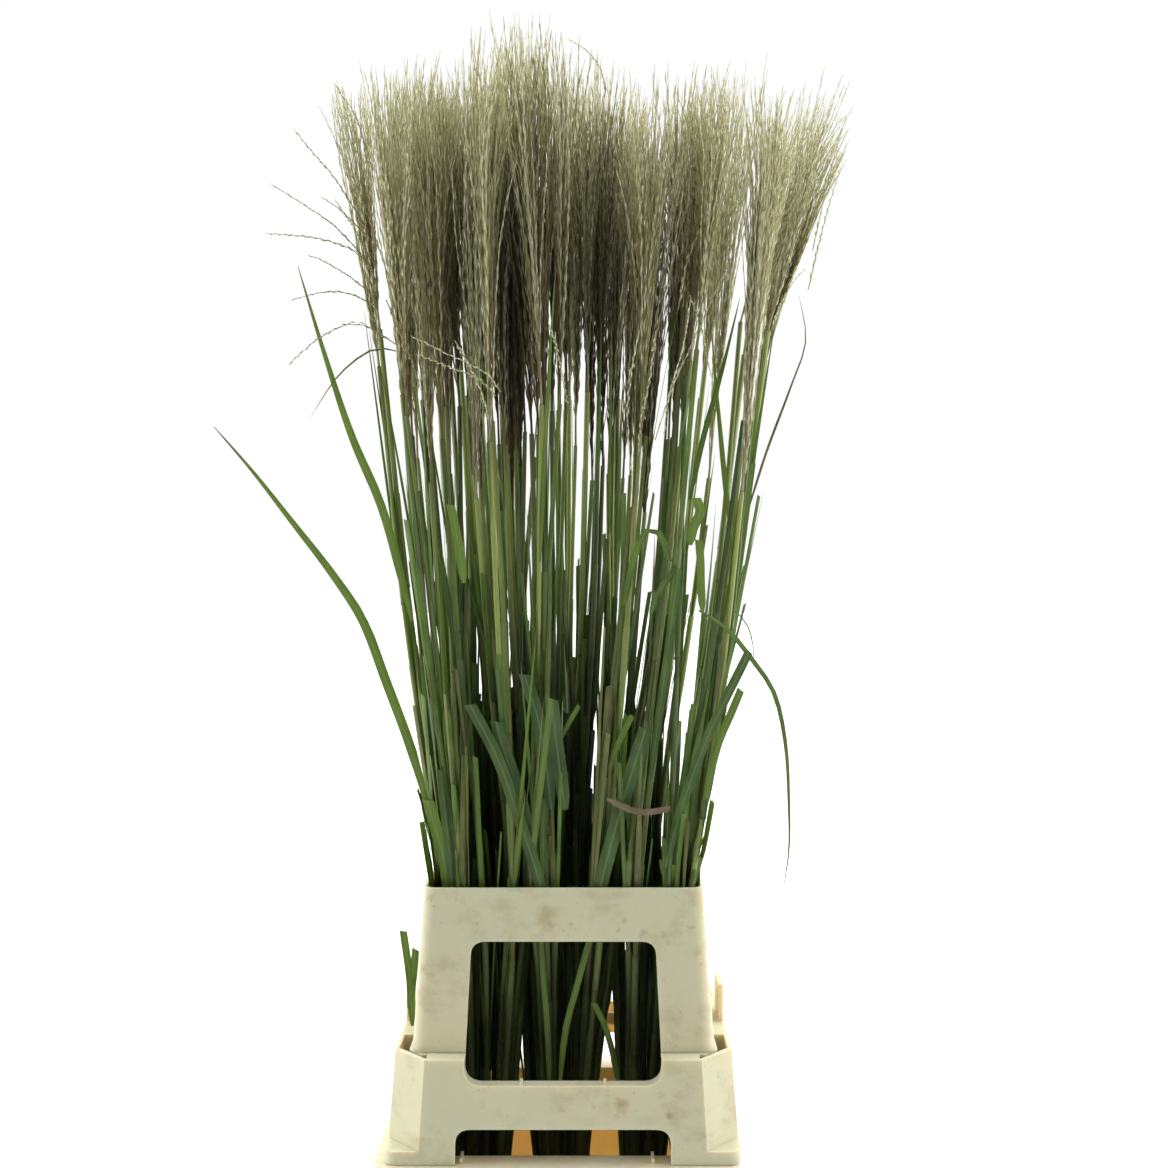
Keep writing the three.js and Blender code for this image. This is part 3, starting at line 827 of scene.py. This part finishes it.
def new_piece(name, bm, material, nodes=(), sharp=None):
    """Makes a finished piece of a bmesh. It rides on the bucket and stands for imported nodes."""
    bmesh.ops.recalc_face_normals(bm, faces=bm.faces)
    for face in bm.faces:
        face.smooth = True
    if sharp:
        for edge in bm.edges:
            edge.smooth = edge.calc_face_angle(0) < sharp
    mesh = mesh_of(name, bm)
    mesh.materials.append(material)
    piece = new_object(name, mesh)
    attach(piece, "root")
    if nodes:
        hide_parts(*nodes)
    return piece


def merged_copy(node):
    """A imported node's mesh with its loose triangles joined."""
    bm = bmesh.new()
    bm.from_mesh(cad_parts[node].data)
    bmesh.ops.remove_doubles(bm, verts=bm.verts, dist=0.01 * MM)
    return bm


# Holder
def moulded_piece(name, node, material, radius):
    """A packed plastic piece with its edges rounded as a mould leaves them."""
    bm = merged_copy(node)
    bmesh.ops.dissolve_limit(bm, angle_limit=radians(0.5), verts=bm.verts, edges=bm.edges)
    for other in list(bm.verts.layers.float.values()):
        bm.verts.layers.float.remove(other)
    piece = new_piece(name, bm, material, [node], sharp=SHARP_EDGE)
    rounding = piece.modifiers.new("rounded edges", "BEVEL")
    rounding.width = radius
    rounding.segments = 2
    rounding.limit_method = "ANGLE"
    rounding.angle_limit = SHARP_EDGE
    rounding.harden_normals = True
    return piece


# Half of a band's section, in millimetres: its height and its thickness, with the corners cut
BAND_SECTION = [(1.7, 0.5), (1.4, 0.75), (-1.4, 0.75), (-1.7, 0.5)]


def rubber_band(bunch, material):
    """A rubber band wound twice round a bunch."""
    whole = bmesh.new()
    section = BAND_SECTION + [(-high, -thick) for high, thick in BAND_SECTION]
    radius = BAND_OUTER - 0.8 * MM
    for turn, (height, tilt) in enumerate(BAND_TURNS):
        bm = bmesh.new()
        ring = bmesh.ops.create_circle(bm, segments=len(section), radius=1)["verts"]
        for vert, (high, thick) in zip(ring, section):
            vert.co = Vector((radius + thick * MM, 0, high * MM))
        wound = [*ring, *bm.edges]
        bmesh.ops.spin(bm, geom=wound, axis=UP, steps=48, angle=tau, use_merge=True)
        for vert in bm.verts:
            wave = sin(5 * atan2(vert.co.y, vert.co.x) + turn) * 0.3 * MM
            vert.co += Vector((vert.co.x, vert.co.y, 0)).normalized() * wave
        lean = Matrix.Rotation(radians(tilt), 4, "X")
        place = Matrix.Translation(BUNCHES[bunch] + UP * height) @ lean
        bmesh.ops.transform(bm, matrix=place, verts=bm.verts)
        join(whole, bm)
    return new_piece(f"rubber_band_{bunch}", whole, material, [f"band_{bunch}"])


# Canes
def centreline(node):
    """The middles of a packed cane's rings, from its cut end to the foot of its plume."""
    bm = merged_copy(node)
    corners = sorted((vert.co.copy() for vert in bm.verts), key=lambda place: place.z)
    bm.free()
    sides = CANE_SIDES_IN_MODEL
    rings = [corners[i : i + sides] for i in range(0, len(corners), sides)]
    return [sum(ring, Vector()) / len(ring) for ring in rings]


def plume_ends(node):
    """The foot and the tip of a packed plume."""
    corners = [vert.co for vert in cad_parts[node].data.vertices]
    return min(corners, key=lambda c: c.z).copy(), max(corners, key=lambda c: c.z).copy()


class Cane:
    """One flowering cane: its line, the tip of its plume, and the bunch that it stands in."""

    def __init__(self, points, plume_tip, tone, bunch, number=None, margin=None):
        # A packed cane's points are closer together, so fewer steps lie between them
        self.path = Path(points, 3 if number else 6, margin)
        self.plume_foot = Vector(points[-1])
        self.plume_tip = plume_tip
        self.tone = tone
        self.warm = (7.3 * tone) % 1  # a second chance number, worked out from the first
        self.bunch = bunch
        self.number = number


def in_circle(rng, radius):
    """A chance place in a circle, evenly spread."""
    angle, reach = rng.uniform(0, tau), radius * sqrt(rng.random())
    return Vector((reach * cos(angle), reach * sin(angle), 0))


def kept_inside(place, margin):
    """Keeps a place clear of the upper collar's walls, and from spreading at once above them."""
    share = (place.z - LEDGE_HEIGHT) / (RIM_HEIGHT - LEDGE_HEIGHT)
    half = COLLAR_SHOULDER.lerp(COLLAR_RIM, min(max(share, 0), 1))
    rise = max(place.z - RIM_HEIGHT - STRAIGHT_ABOVE_RIM, 0)
    spare = rise * SPREAD_ABOVE_RIM - COLLAR_WALL - margin
    x, y = half.x + spare, half.y + spare
    kept = Vector((min(max(place.x, -x), x), min(max(place.y, -y), y), place.z))
    corner = Vector((max(abs(kept.x) + COLLAR_CORNER - x, 0), max(abs(kept.y) + COLLAR_CORNER - y, 0)))
    if corner.length > COLLAR_CORNER:
        over = corner * (1 - COLLAR_CORNER / corner.length)
        kept -= Vector((copysign(over.x, kept.x), copysign(over.y, kept.y), 0))
    return kept


def kept_in_box(place):
    """How far to move a strand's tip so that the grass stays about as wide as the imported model."""
    low, high = (Vector(corner) for corner in CAD_BOX)
    x = min(max(place.x, low.x), high.x + TIP_ROOM)
    y = min(max(place.y, low.y - TIP_ROOM / 3), high.y + TIP_ROOM / 3)
    return Vector((x - place.x, y - place.y, 0))


def companion(hero, rng):
    """A further cane beside a packed one, tied in the same bunch.

    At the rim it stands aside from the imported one, often nearer to the middle of the depth, and
    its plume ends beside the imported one's."""
    middle = BUNCHES[hero.bunch]
    rim = hero.path.at(hero.path.distance_to_height(RIM_HEIGHT))[0]
    inward = max(0.0, rng.uniform(-0.35, 0.6))
    depth = 22 if abs(rim.y) > 0.05 else 40  # millimetres, more between the rows
    rim = Vector((rim.x, rim.y * (1 - inward), rim.z))
    rim += Vector((rng.uniform(-17, 17), rng.uniform(-depth, depth), 0)) * MM
    rim.x += copysign(max(abs(rim.x) - 60 * MM, 0) * rng.uniform(0, 0.7), rim.x)
    rim = kept_inside(rim, CANE_MARGIN)
    out = Vector(((rim.x - middle.x) / SPREAD_AT_RIM.x, rim.y / SPREAD_AT_RIM.y, 0))
    out /= max(1.0, out.length)
    foot = middle + in_circle(rng, SPREAD_AT_FOOT)
    foot.z = hero.path.at(0)[0].z
    band = middle + out * SPREAD_IN_BAND + in_circle(rng, 3 * MM)
    window = middle + out * SPREAD_AT_FOOT_WINDOW + in_circle(rng, 5 * MM)
    window.z = FOOT_WINDOW_HEIGHT
    below = window.lerp(rim, 0.5) + in_circle(rng, 4 * MM)
    room = 17 if abs(hero.plume_foot.x) < 0.15 else 9  # millimetres, less at the sides
    aside = Vector((rng.uniform(-room, room), rng.uniform(-depth, depth), 0)) * MM
    aside.y -= (0.12 + 0.88 * inward) * hero.plume_foot.y
    end = hero.plume_foot + aside + UP * rng.uniform(-0.10, 0.06)
    bow = Vector(((end - rim).x, (end - rim).y, 0)) * 0.06
    halfway = (rim + end) / 2 + bow + in_circle(rng, 6 * MM)
    lean = Vector((rng.uniform(-12, 12), rng.uniform(-10, 10), 0)) * MM
    tip = hero.plume_tip + aside + lean - UP * rng.uniform(-0.012, 0.06)
    points = [foot, band, window, below, rim, halfway, end]
    return Cane(points, tip, rng.random(), hero.bunch, margin=CANE_MARGIN)


def all_canes(seed):
    """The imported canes, and those that stand beside them."""
    rng = random.Random(seed)
    heroes = []
    for node in CANE_NODES:
        points = centreline(node)
        number = node.split("_")[1]
        tip = plume_ends(f"plume_{number}")[1]
        bunch = min(BUNCHES, key=lambda name: abs(BUNCHES[name].x - points[0].x))
        heroes.append(Cane(points, tip, rng.random(), bunch, number))
    others = [
        companion(hero, rng) for hero, count in zip(heroes, COMPANIONS) for _ in range(count)
    ]
    return heroes, others


def cane_rings(length, rng):
    """Where rings go along a cane, with its swelling, sheath and joint marks there."""
    rings = [(0.0, 1.0, 1.0, 0.0)]
    joint = rng.uniform(0.03, 0.10)
    # Above its last joint a cane is bare up to the plume
    peduncle = length - rng.uniform(0.16, 0.30)
    while joint < peduncle:
        after = joint + rng.uniform(0.12, 0.19)
        cover = joint + (after - joint) * rng.uniform(0.55, 0.93)
        rings += [
            (joint - 2.5 * MM, 1.0, 0.0, 0.2),
            (joint, 1.25, 0.4, 1.0),
            (joint + 2.5 * MM, 1.14, 1.0, 0.25),
            ((joint + cover) / 2, 1.2, 1.0, 0.0),
            (cover, 1.24, 1.0, 0.0),
            (cover + 1.2 * MM, 1.0, 0.0, 0.15),
        ]
        joint = after
    rings = [ring for ring in rings if ring[0] < length - 0.02]
    last = rings[-1][0]
    return rings + [(last + (length - last) * share, 1.0, 0.0, 0.0) for share in even_shares(5)[1:]]


def add_cane(whole, cane, radius, rng):
    """A cane with its joints and sheaths."""
    bm = bmesh.new()
    path = cane.path
    frames, marks = [], []
    for distance, swell, sheath, joint in cane_rings(path.length, rng):
        share = distance / path.length
        place, way = path.at(distance)
        frames.append(upright(place, way, radius * (1.0 - CANE_TAPER * share) * swell))
        tints = {"tone": cane.tone, "warm": cane.warm}
        marks.append({"along": share, "sheath": sheath, "joint": joint, **tints})
    sweep(bm, circle_outline(8), frames, marks)
    join(whole, bm)


# Plumes
STRAND_LENGTH = 0.2
STRAND_STEPS = 12
HUSKS = 24
STALK_SHARE = 0.34  # how far up a plume its stalk reaches
PLUME_PACKED = 7 * MM  # radius of a plume low down, where its strands lie side by side


def strand_mesh(rng):
    """One flower strand, straight up: a thin axis with husks in two ranks."""
    bm = bmesh.new()
    for name in ("along", "husk", "tone", "purple"):
        layer(bm, name)
    frames, marks = [], []
    for share in even_shares(8):
        sway = Vector((rng.uniform(-0.2, 0.2), rng.uniform(-0.2, 0.2), 0)) * MM
        frames.append(upright(sway + UP * STRAND_LENGTH * share, UP, (0.7 - 0.45 * share) * MM))
        marks.append({"along": share, "husk": 0.0})
    sweep(bm, circle_outline(3), frames, marks)
    turn = rng.uniform(0, tau)
    for i in range(HUSKS):
        share = 0.05 + 0.93 * (i + rng.uniform(-0.3, 0.3)) / HUSKS
        side = turn + pi * (i % 2) + rng.uniform(-0.7, 0.7)
        long = rng.uniform(10.0, 14.0) * (1 - 0.3 * share) * MM
        wide = rng.uniform(1.1, 1.45) * (1 - 0.5 * share) * MM
        lean = radians(rng.uniform(2, 6))
        stand = (
            Matrix.Translation(UP * STRAND_LENGTH * share)
            @ Matrix.Rotation(side, 4, "Z")
            @ Matrix.Rotation(lean, 4, "Y")
            @ Matrix.Translation((0.5 * MM, 0, long / 2))
            @ Matrix.Diagonal((wide * 0.75, wide, long / 2, 1))
        )
        made = bmesh.ops.create_uvsphere(bm, u_segments=3, v_segments=2, radius=1, matrix=stand)
        mark(bm, made["verts"], {"along": share, "husk": 1.0})
    return mesh_of("strand", bm)


def add_strand(bm, mesh, path, tone, purple=0.0):
    """Lays a straight strand along a path."""
    first = len(bm.verts)
    bm.from_mesh(mesh)
    bm.verts.ensure_lookup_table()
    frames = []
    for step in range(STRAND_STEPS):
        place, way = path.at(path.length * step / STRAND_STEPS)
        frames.append(upright(place, way))
    stretch = path.length / STRAND_LENGTH
    part = STRAND_LENGTH / STRAND_STEPS
    tone_layer, purple_layer = layer(bm, "tone"), layer(bm, "purple")
    for vert in bm.verts[first:]:
        step = min(int(max(vert.co.z, 0) / part), STRAND_STEPS - 1)
        lift = (vert.co.z - step * part) * stretch
        vert.co = frames[step] @ Vector((vert.co.x, vert.co.y, lift))
        vert[tone_layer] = tone
        vert[purple_layer] = purple


def add_plume(whole, cane, meshes, strands, spread, rng):
    """A plume: its stalk tapers on from the cane, and strands branch from it all round."""
    bm = bmesh.new()
    foot, tip = cane.plume_foot, cane.plume_tip
    axis = tip - foot
    height = axis.length
    axis.normalize()
    stalk = STALK_SHARE * height
    frames, marks = [], []
    for share in even_shares(7):
        frames.append(upright(foot + axis * (stalk * share - 2 * MM), axis, (1.45 - 1.0 * share) * MM))
        marks.append({"along": 0.3 * share, "husk": 0.0, "tone": cane.tone, "purple": 0.0})
    sweep(bm, circle_outline(5), frames, marks)
    droop = in_circle(rng, 0.014)
    for i in range(strands):
        share = (i / (strands - 1)) ** 0.85
        start = foot + axis * stalk * share * 0.98
        room = height - stalk * share
        reach = min(room * rng.uniform(0.84, 1.0), rng.uniform(0.27, 0.40))
        out = in_circle(rng, 1.0)
        packed = out * PLUME_PACKED
        loose = rng.uniform(1.3, 2.0) if rng.random() < 0.2 else rng.uniform(0.6, 1.1)
        lean = out * (reach * spread * loose)
        aside = in_circle(rng, 0.005)
        tip = start + axis * reach + packed * 1.3 + lean + droop * 0.8 + aside * 2
        back = kept_in_box(tip)
        # A strand leaves the stalk steeply, lies beside the others and leans out to its tip
        points = [
            start,
            start + axis * reach * 0.12 + packed * 0.5,
            start + axis * reach * 0.42 + packed * 1.1 + lean * 0.12 + back * 0.12,
            start + axis * reach * 0.72 + packed * 1.3 + lean * 0.5 + aside + back * 0.5,
            tip + back,
        ]
        tone = 0.42 * cane.tone + 0.08 * out.length + 0.50 * rng.random()
        add_strand(bm, rng.choice(meshes), Path(points, 4), tone)
    join(whole, bm)


# Leaves
BLADE_OUTLINE = [(1.0, 0.24), (0.0, 0.04), (-1.0, 0.24), (-1.0, 0.16), (0.0, -0.09), (1.0, 0.16)]
BLADE_ACROSS = [1.0, 0.0, -1.0, -1.0, 0.0, 1.0]
BLADE_STEP = 0.018
CUT_ANGLE = radians(18)
EDGE_GAP = 2 * MM  # between a wall and the blades along it


def add_blade(whole, path, width, towards, cut=False, twist=0.0, **tints):
    """A folded grass blade along a path, its inner face towards a direction."""
    bm = bmesh.new()
    steps = max(8, int(path.length / BLADE_STEP))
    values = {"blue": 0.0, "light": 0.0, "dry": 0.0} | tints
    frames, marks = [], []
    for share in even_shares(steps + 1):
        place, way = path.at(path.length * share)
        look = Matrix.Rotation(twist * share, 3, way) @ towards
        # Narrow at its foot, and tapering to a point if it isn't cut back
        narrow = min(1.0, 0.4 + 4 * share)
        if not cut:
            narrow *= min(1.0, 0.06 + 1.45 * (1 - share) ** 0.8)
        frames.append(facing(place, way, look, width / 2 * narrow))
        marks.append({"along": share * (0.8 if cut else 1.0), **values})
    if cut:
        frames[-1] = frames[-1] @ Matrix.Rotation(CUT_ANGLE, 4, "Y")
    sweep(bm, BLADE_OUTLINE, frames, marks, BLADE_ACROSS)
    join(whole, bm)


def told_apart_blade(bm, shape, twist, cut):
    """A blade from its entry in a table."""
    tints = {tint: shape[tint] for tint in ("blue", "light", "dry") if tint in shape}
    path = path_in_mm(shape["points"])
    add_blade(bm, path, shape["width"] * MM, FRONT, shape.get("cut", cut), twist, **tints)


def filler_blade(bm, cane, low, long, lean, width, rng, **tints):
    """A blade that stands against a cane and leans away from it."""
    start, way = cane.path.at(cane.path.distance_to_height(low))
    angle = rng.uniform(0, tau)
    out = Vector((cos(angle), sin(angle), 0))
    points = [
        start + out * 2.5 * MM,
        start + way * long * 0.35 + out * (lean * 0.25 + 3.5 * MM),
        start + way * long * 0.7 + out * (lean * 0.6 + 4 * MM),
        start + way * long + out * (lean + 4 * MM),
    ]
    path = Path(points, 6, width / 2 + MM)
    twist = rng.uniform(-0.5, 0.5)
    add_blade(bm, path, width, out, twist=twist, **tints)


def filler_blades(bm, cane, rng):
    """Cut-back leaves and sheath ends against a cane, mostly low, and a fine leaf above."""
    at_rim = cane.path.at(cane.path.distance_to_height(RIM_HEIGHT))[0]
    for _ in range(6 if abs(at_rim.y) < OUTER_ROW else 0):
        low, long = rng.uniform(0.30, 0.60), rng.uniform(0.12, 0.26)
        filler_blade(bm, cane, low, long, long * 0.03, rng.uniform(7, 11) * MM, rng, cut=True)
    for _ in range(rng.choice([4, 5, 6])):
        long = rng.uniform(0.10, 0.28)
        filler_blade(
            bm,
            cane,
            rng.uniform(0.34, 0.78),
            long,
            long * rng.choice([0.02, 0.03, 0.04, 0.08]),
            rng.uniform(4.0, 8.0) * MM,
            rng,
            cut=rng.random() < 0.6,
            blue=rng.choice([0.0, 0.0, 0.2, 0.5]),
            light=rng.choice([0.0, 0.0, 0.0, 0.35]),
            dry=rng.choice([0.0, 0.0, 0.0, 0.0, 0.5]),
        )
    if rng.random() < 0.9:
        long = rng.uniform(0.16, 0.30)
        light = rng.choice([0.0, 0.1, 0.3])
        lean = long * rng.choice([0.01, 0.02, 0.03, 0.1])
        low, width = rng.uniform(0.76, 0.98), rng.uniform(3.0, 5.5) * MM
        filler_blade(bm, cane, low, long, lean, width, rng, light=light)


def edge_blades(bm, rng):
    """Cut-back blades that fan out from the bunches to the upper collar's side and back walls."""
    half = COLLAR_RIM - Vector((1, 1)) * (COLLAR_WALL + EDGE_GAP)
    stands = [(x * MM, half.y, FRONT) for x in range(-120, 121, 12)]
    for side in (-1, 1):
        look = Vector((-side, 0, 0))
        stands += [(side * half.x, y * MM, look) for y in range(-92, 89, 13)]
    for x, y, towards in stands:
        middle = min(BUNCHES.values(), key=lambda place: abs(place.x - x))
        foot = Vector((middle.x + (x - middle.x) * 0.4, y * 0.35, FOOT_WINDOW_HEIGHT))
        rim = Vector((x, y, RIM_HEIGHT)) + in_circle(rng, 4 * MM)
        above = rng.choice([0.01, 0.02, 0.03, 0.05, 0.08]) + rng.uniform(0.0, 0.02)
        top = rim + (rim - foot).normalized() * above
        path = Path([foot, foot.lerp(rim, 0.55), rim, top], 5, EDGE_GAP)
        width, twist = rng.uniform(7, 13) * MM, rng.uniform(-0.4, 0.4)
        blue, light = rng.choice([0.0, 0.0, 0.4]), rng.choice([0.0, 0.0, 0.3])
        add_blade(bm, path, width, towards, cut=True, twist=twist, blue=blue, light=light)


# Operators
class SILVERGRASS_OT_holder(bpy.types.Operator):
    """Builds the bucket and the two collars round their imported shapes"""

    bl_idname = "silver_grass.holder"
    bl_label = "Bucket and Collars"

    def execute(self, context):
        holder = context.scene.silver_grass_holder
        radius = holder.edge_radius
        bucket = plastic_material(
            "bucket_plastic", holder.bucket_colour, holder.wall_softness, holder.grime * 0.6
        )
        collar = plastic_material(
            "collar_plastic", holder.collar_colour, holder.wall_softness, holder.grime, COLLAR_STAINS
        )
        moulded_piece("flower_bucket", "bucket", bucket, radius)
        moulded_piece("collar_below", "lower_collar", collar, radius)
        moulded_piece("collar_above", "upper_collar", collar, radius)
        return {"FINISHED"}


class SILVERGRASS_OT_bands(bpy.types.Operator):
    """Winds a rubber band round each bunch"""

    bl_idname = "silver_grass.bands"
    bl_label = "Rubber Bands"

    def execute(self, context):
        material = rubber_material()
        for bunch in BUNCHES:
            rubber_band(bunch, material)
        return {"FINISHED"}


class SILVERGRASS_OT_canes(bpy.types.Operator):
    """Grows the flowering canes, one piece for each packed one and one for each bunch's others"""

    bl_idname = "silver_grass.canes"
    bl_label = "Canes"

    def execute(self, context):
        grass = context.scene.silver_grass
        material = cane_material(grass.cane_colour)
        rng = random.Random(grass.seed + 1)
        heroes, others = all_canes(grass.seed)
        for cane in heroes:
            bm = bmesh.new()
            add_cane(bm, cane, grass.cane_radius, rng)
            new_piece(f"cane_{cane.number}", bm, material, [f"stem_{cane.number}"])
        for bunch in BUNCHES:
            bm = bmesh.new()
            for cane in others:
                if cane.bunch == bunch:
                    add_cane(bm, cane, grass.cane_radius * rng.uniform(0.8, 1.0), rng)
            new_piece(f"more_canes_{bunch}", bm, material)
        return {"FINISHED"}


class SILVERGRASS_OT_plumes(bpy.types.Operator):
    """Grows the plumes, and the single strands that stand away from them"""

    bl_idname = "silver_grass.plumes"
    bl_label = "Plumes"

    def execute(self, context):
        grass = context.scene.silver_grass
        material = plume_material(grass.plume_colour)
        rng = random.Random(grass.seed + 2)
        meshes = [strand_mesh(rng) for _ in range(10)]
        strands, spread = grass.strands, grass.strand_spread
        heroes, others = all_canes(grass.seed)
        for cane in heroes:
            bm = bmesh.new()
            add_plume(bm, cane, meshes, strands, spread, rng)
            new_piece(f"panicle_{cane.number}", bm, material, [f"plume_{cane.number}"])
        for bunch in BUNCHES:
            bm = bmesh.new()
            for cane in others:
                if cane.bunch == bunch:
                    add_plume(bm, cane, meshes, strands, spread, rng)
            new_piece(f"more_panicles_{bunch}", bm, material)
        bm = bmesh.new()
        for points in STRAYS:
            tone, purple = (0.5, 0.9) if points[0][0] < -170 else (0.9, 0.0)
            add_strand(bm, rng.choice(meshes), path_in_mm(points), tone, purple)
        new_piece("stray_strands", bm, material)
        for mesh in meshes:
            bpy.data.meshes.remove(mesh)
        return {"FINISHED"}


class SILVERGRASS_OT_leaves(bpy.types.Operator):
    """Grows the leaves that stand out, and cut-back ones among the canes and along the walls"""

    bl_idname = "silver_grass.leaves"
    bl_label = "Leaves"

    def execute(self, context):
        grass = context.scene.silver_grass
        material = leaf_material(grass.leaf_colour)
        rng = random.Random(grass.seed + 3)
        for name, shape in LEAVES.items():
            bm = bmesh.new()
            told_apart_blade(bm, shape, rng.uniform(-0.3, 0.3), cut=False)
            new_piece(f"blade_{name}", bm, material, [f"leaf_{name}"], sharp=SHARP_FOLD)
        bm = bmesh.new()
        for shape in SMALL_BLADES:
            told_apart_blade(bm, shape, rng.uniform(-0.4, 0.4), cut=True)
        new_piece("small_blades", bm, material, sharp=SHARP_FOLD)
        heroes, others = all_canes(grass.seed)
        for bunch in BUNCHES:
            bm = bmesh.new()
            for cane in [*heroes, *others]:
                if cane.bunch == bunch:
                    filler_blades(bm, cane, rng)
            new_piece(f"cut_blades_{bunch}", bm, material, sharp=SHARP_FOLD)
        bm = bmesh.new()
        edge_blades(bm, rng)
        new_piece("edge_blades", bm, material, sharp=SHARP_FOLD)
        return {"FINISHED"}


class SILVERGRASS_OT_studio(bpy.types.Operator):
    """Sets up the floor, the soft light and the camera"""

    bl_idname = "silver_grass.studio"
    bl_label = "Studio"

    def execute(self, context):
        studio = context.scene.silver_grass_studio
        self.light_surroundings(studio)
        self.hang_softbox(studio)
        if studio.show_floor:
            self.lay_floor()
        self.place_camera(studio)
        context.scene.view_settings.view_transform = "Standard"
        return {"FINISHED"}

    def light_surroundings(self, studio):
        """White to look at; on the object dim from the front, brighter behind, brightest beside."""
        world = bpy.data.worlds.new("studio_surroundings")
        world.use_nodes = True
        nodes = Nodes(world.node_tree)
        way = nodes.add("ShaderNodeTexCoord", output="Generated")
        depth, height = (nodes.coordinate(way, axis) for axis in "YZ")
        behind = nodes.rise(depth, -0.6, 0.5)
        beside = nodes.rise(abs(nodes.coordinate(way, "X")), 0.5, 0.9)
        beside = beside * nodes.rise(depth, -0.5, 0.0) * (1 - nodes.rise(depth, 0.15, 0.6) * 0.8)
        light = behind * (studio.back_light - studio.front_light) + studio.front_light
        light = beside * (studio.side_light - light) + light
        light = light + nodes.rise(height, 0.1, 1.0) * 0.3
        seen = nodes.add("ShaderNodeLightPath", output="Is Camera Ray")
        strength = light * (1 - seen) + seen
        inputs = {"Color": opaque((1.0, 1.0, 1.0)), "Strength": strength}
        background = nodes.add("ShaderNodeBackground", inputs=inputs)
        nodes.add("ShaderNodeOutputWorld", inputs={"Surface": background})
        bpy.context.scene.world = world

    def hang_softbox(self, studio):
        data = bpy.data.lights.new("softbox", "AREA")
        data.shape = "RECTANGLE"
        data.size = data.size_y = SOFTBOX_SIZE
        data.energy = studio.softbox_power
        softbox = new_object("softbox", data)
        softbox.location = SOFTBOX_PLACE
        softbox.visible_camera = False

    def lay_floor(self):
        bm = bmesh.new()
        bmesh.ops.create_circle(bm, cap_ends=True, segments=96, radius=FLOOR_RADIUS)
        mesh = mesh_of("floor", bm)
        mesh.materials.append(floor_material())
        new_object("floor", mesh)

    def place_camera(self, studio):
        data = bpy.data.cameras.new("camera")
        data.sensor_width = SENSOR_WIDTH
        data.lens = studio.lens
        camera = new_object("camera", data)
        camera.location = studio.camera_place
        camera.rotation_euler = (pi / 2, 0, 0)
        bpy.context.scene.camera = camera


class SILVERGRASS_PT_panel(bpy.types.Panel):
    """Lists the steps that build the object"""

    bl_idname = "SILVERGRASS_PT_panel"
    bl_label = "Silver Grass"
    bl_space_type = "VIEW_3D"
    bl_region_type = "UI"
    bl_category = "Silver Grass"

    def draw(self, context):
        for operator in OPERATORS:
            self.layout.operator(operator.bl_idname)
        for settings in ("silver_grass_holder", "silver_grass", "silver_grass_studio"):
            group = getattr(context.scene, settings)
            box = self.layout.box()
            for name in group.__annotations__:
                box.prop(group, name)


OPERATORS = [
    SILVERGRASS_OT_studio,
    SILVERGRASS_OT_holder,
    SILVERGRASS_OT_bands,
    SILVERGRASS_OT_canes,
    SILVERGRASS_OT_plumes,
    SILVERGRASS_OT_leaves,
]
CLASSES = [HolderSettings, GrassSettings, StudioSettings, *OPERATORS, SILVERGRASS_PT_panel]


def register():
    for each in CLASSES:
        bpy.utils.register_class(each)
    bpy.types.Scene.silver_grass_holder = PointerProperty(type=HolderSettings)
    bpy.types.Scene.silver_grass = PointerProperty(type=GrassSettings)
    bpy.types.Scene.silver_grass_studio = PointerProperty(type=StudioSettings)


def unregister():
    del bpy.types.Scene.silver_grass_studio
    del bpy.types.Scene.silver_grass
    del bpy.types.Scene.silver_grass_holder
    for each in reversed(CLASSES):
        bpy.utils.unregister_class(each)


def main():
    register()
    bpy.ops.silver_grass.studio()
    bpy.ops.silver_grass.holder()
    bpy.ops.silver_grass.bands()
    bpy.ops.silver_grass.canes()
    bpy.ops.silver_grass.plumes()
    bpy.ops.silver_grass.leaves()


if __name__ == "__main__":
    main()
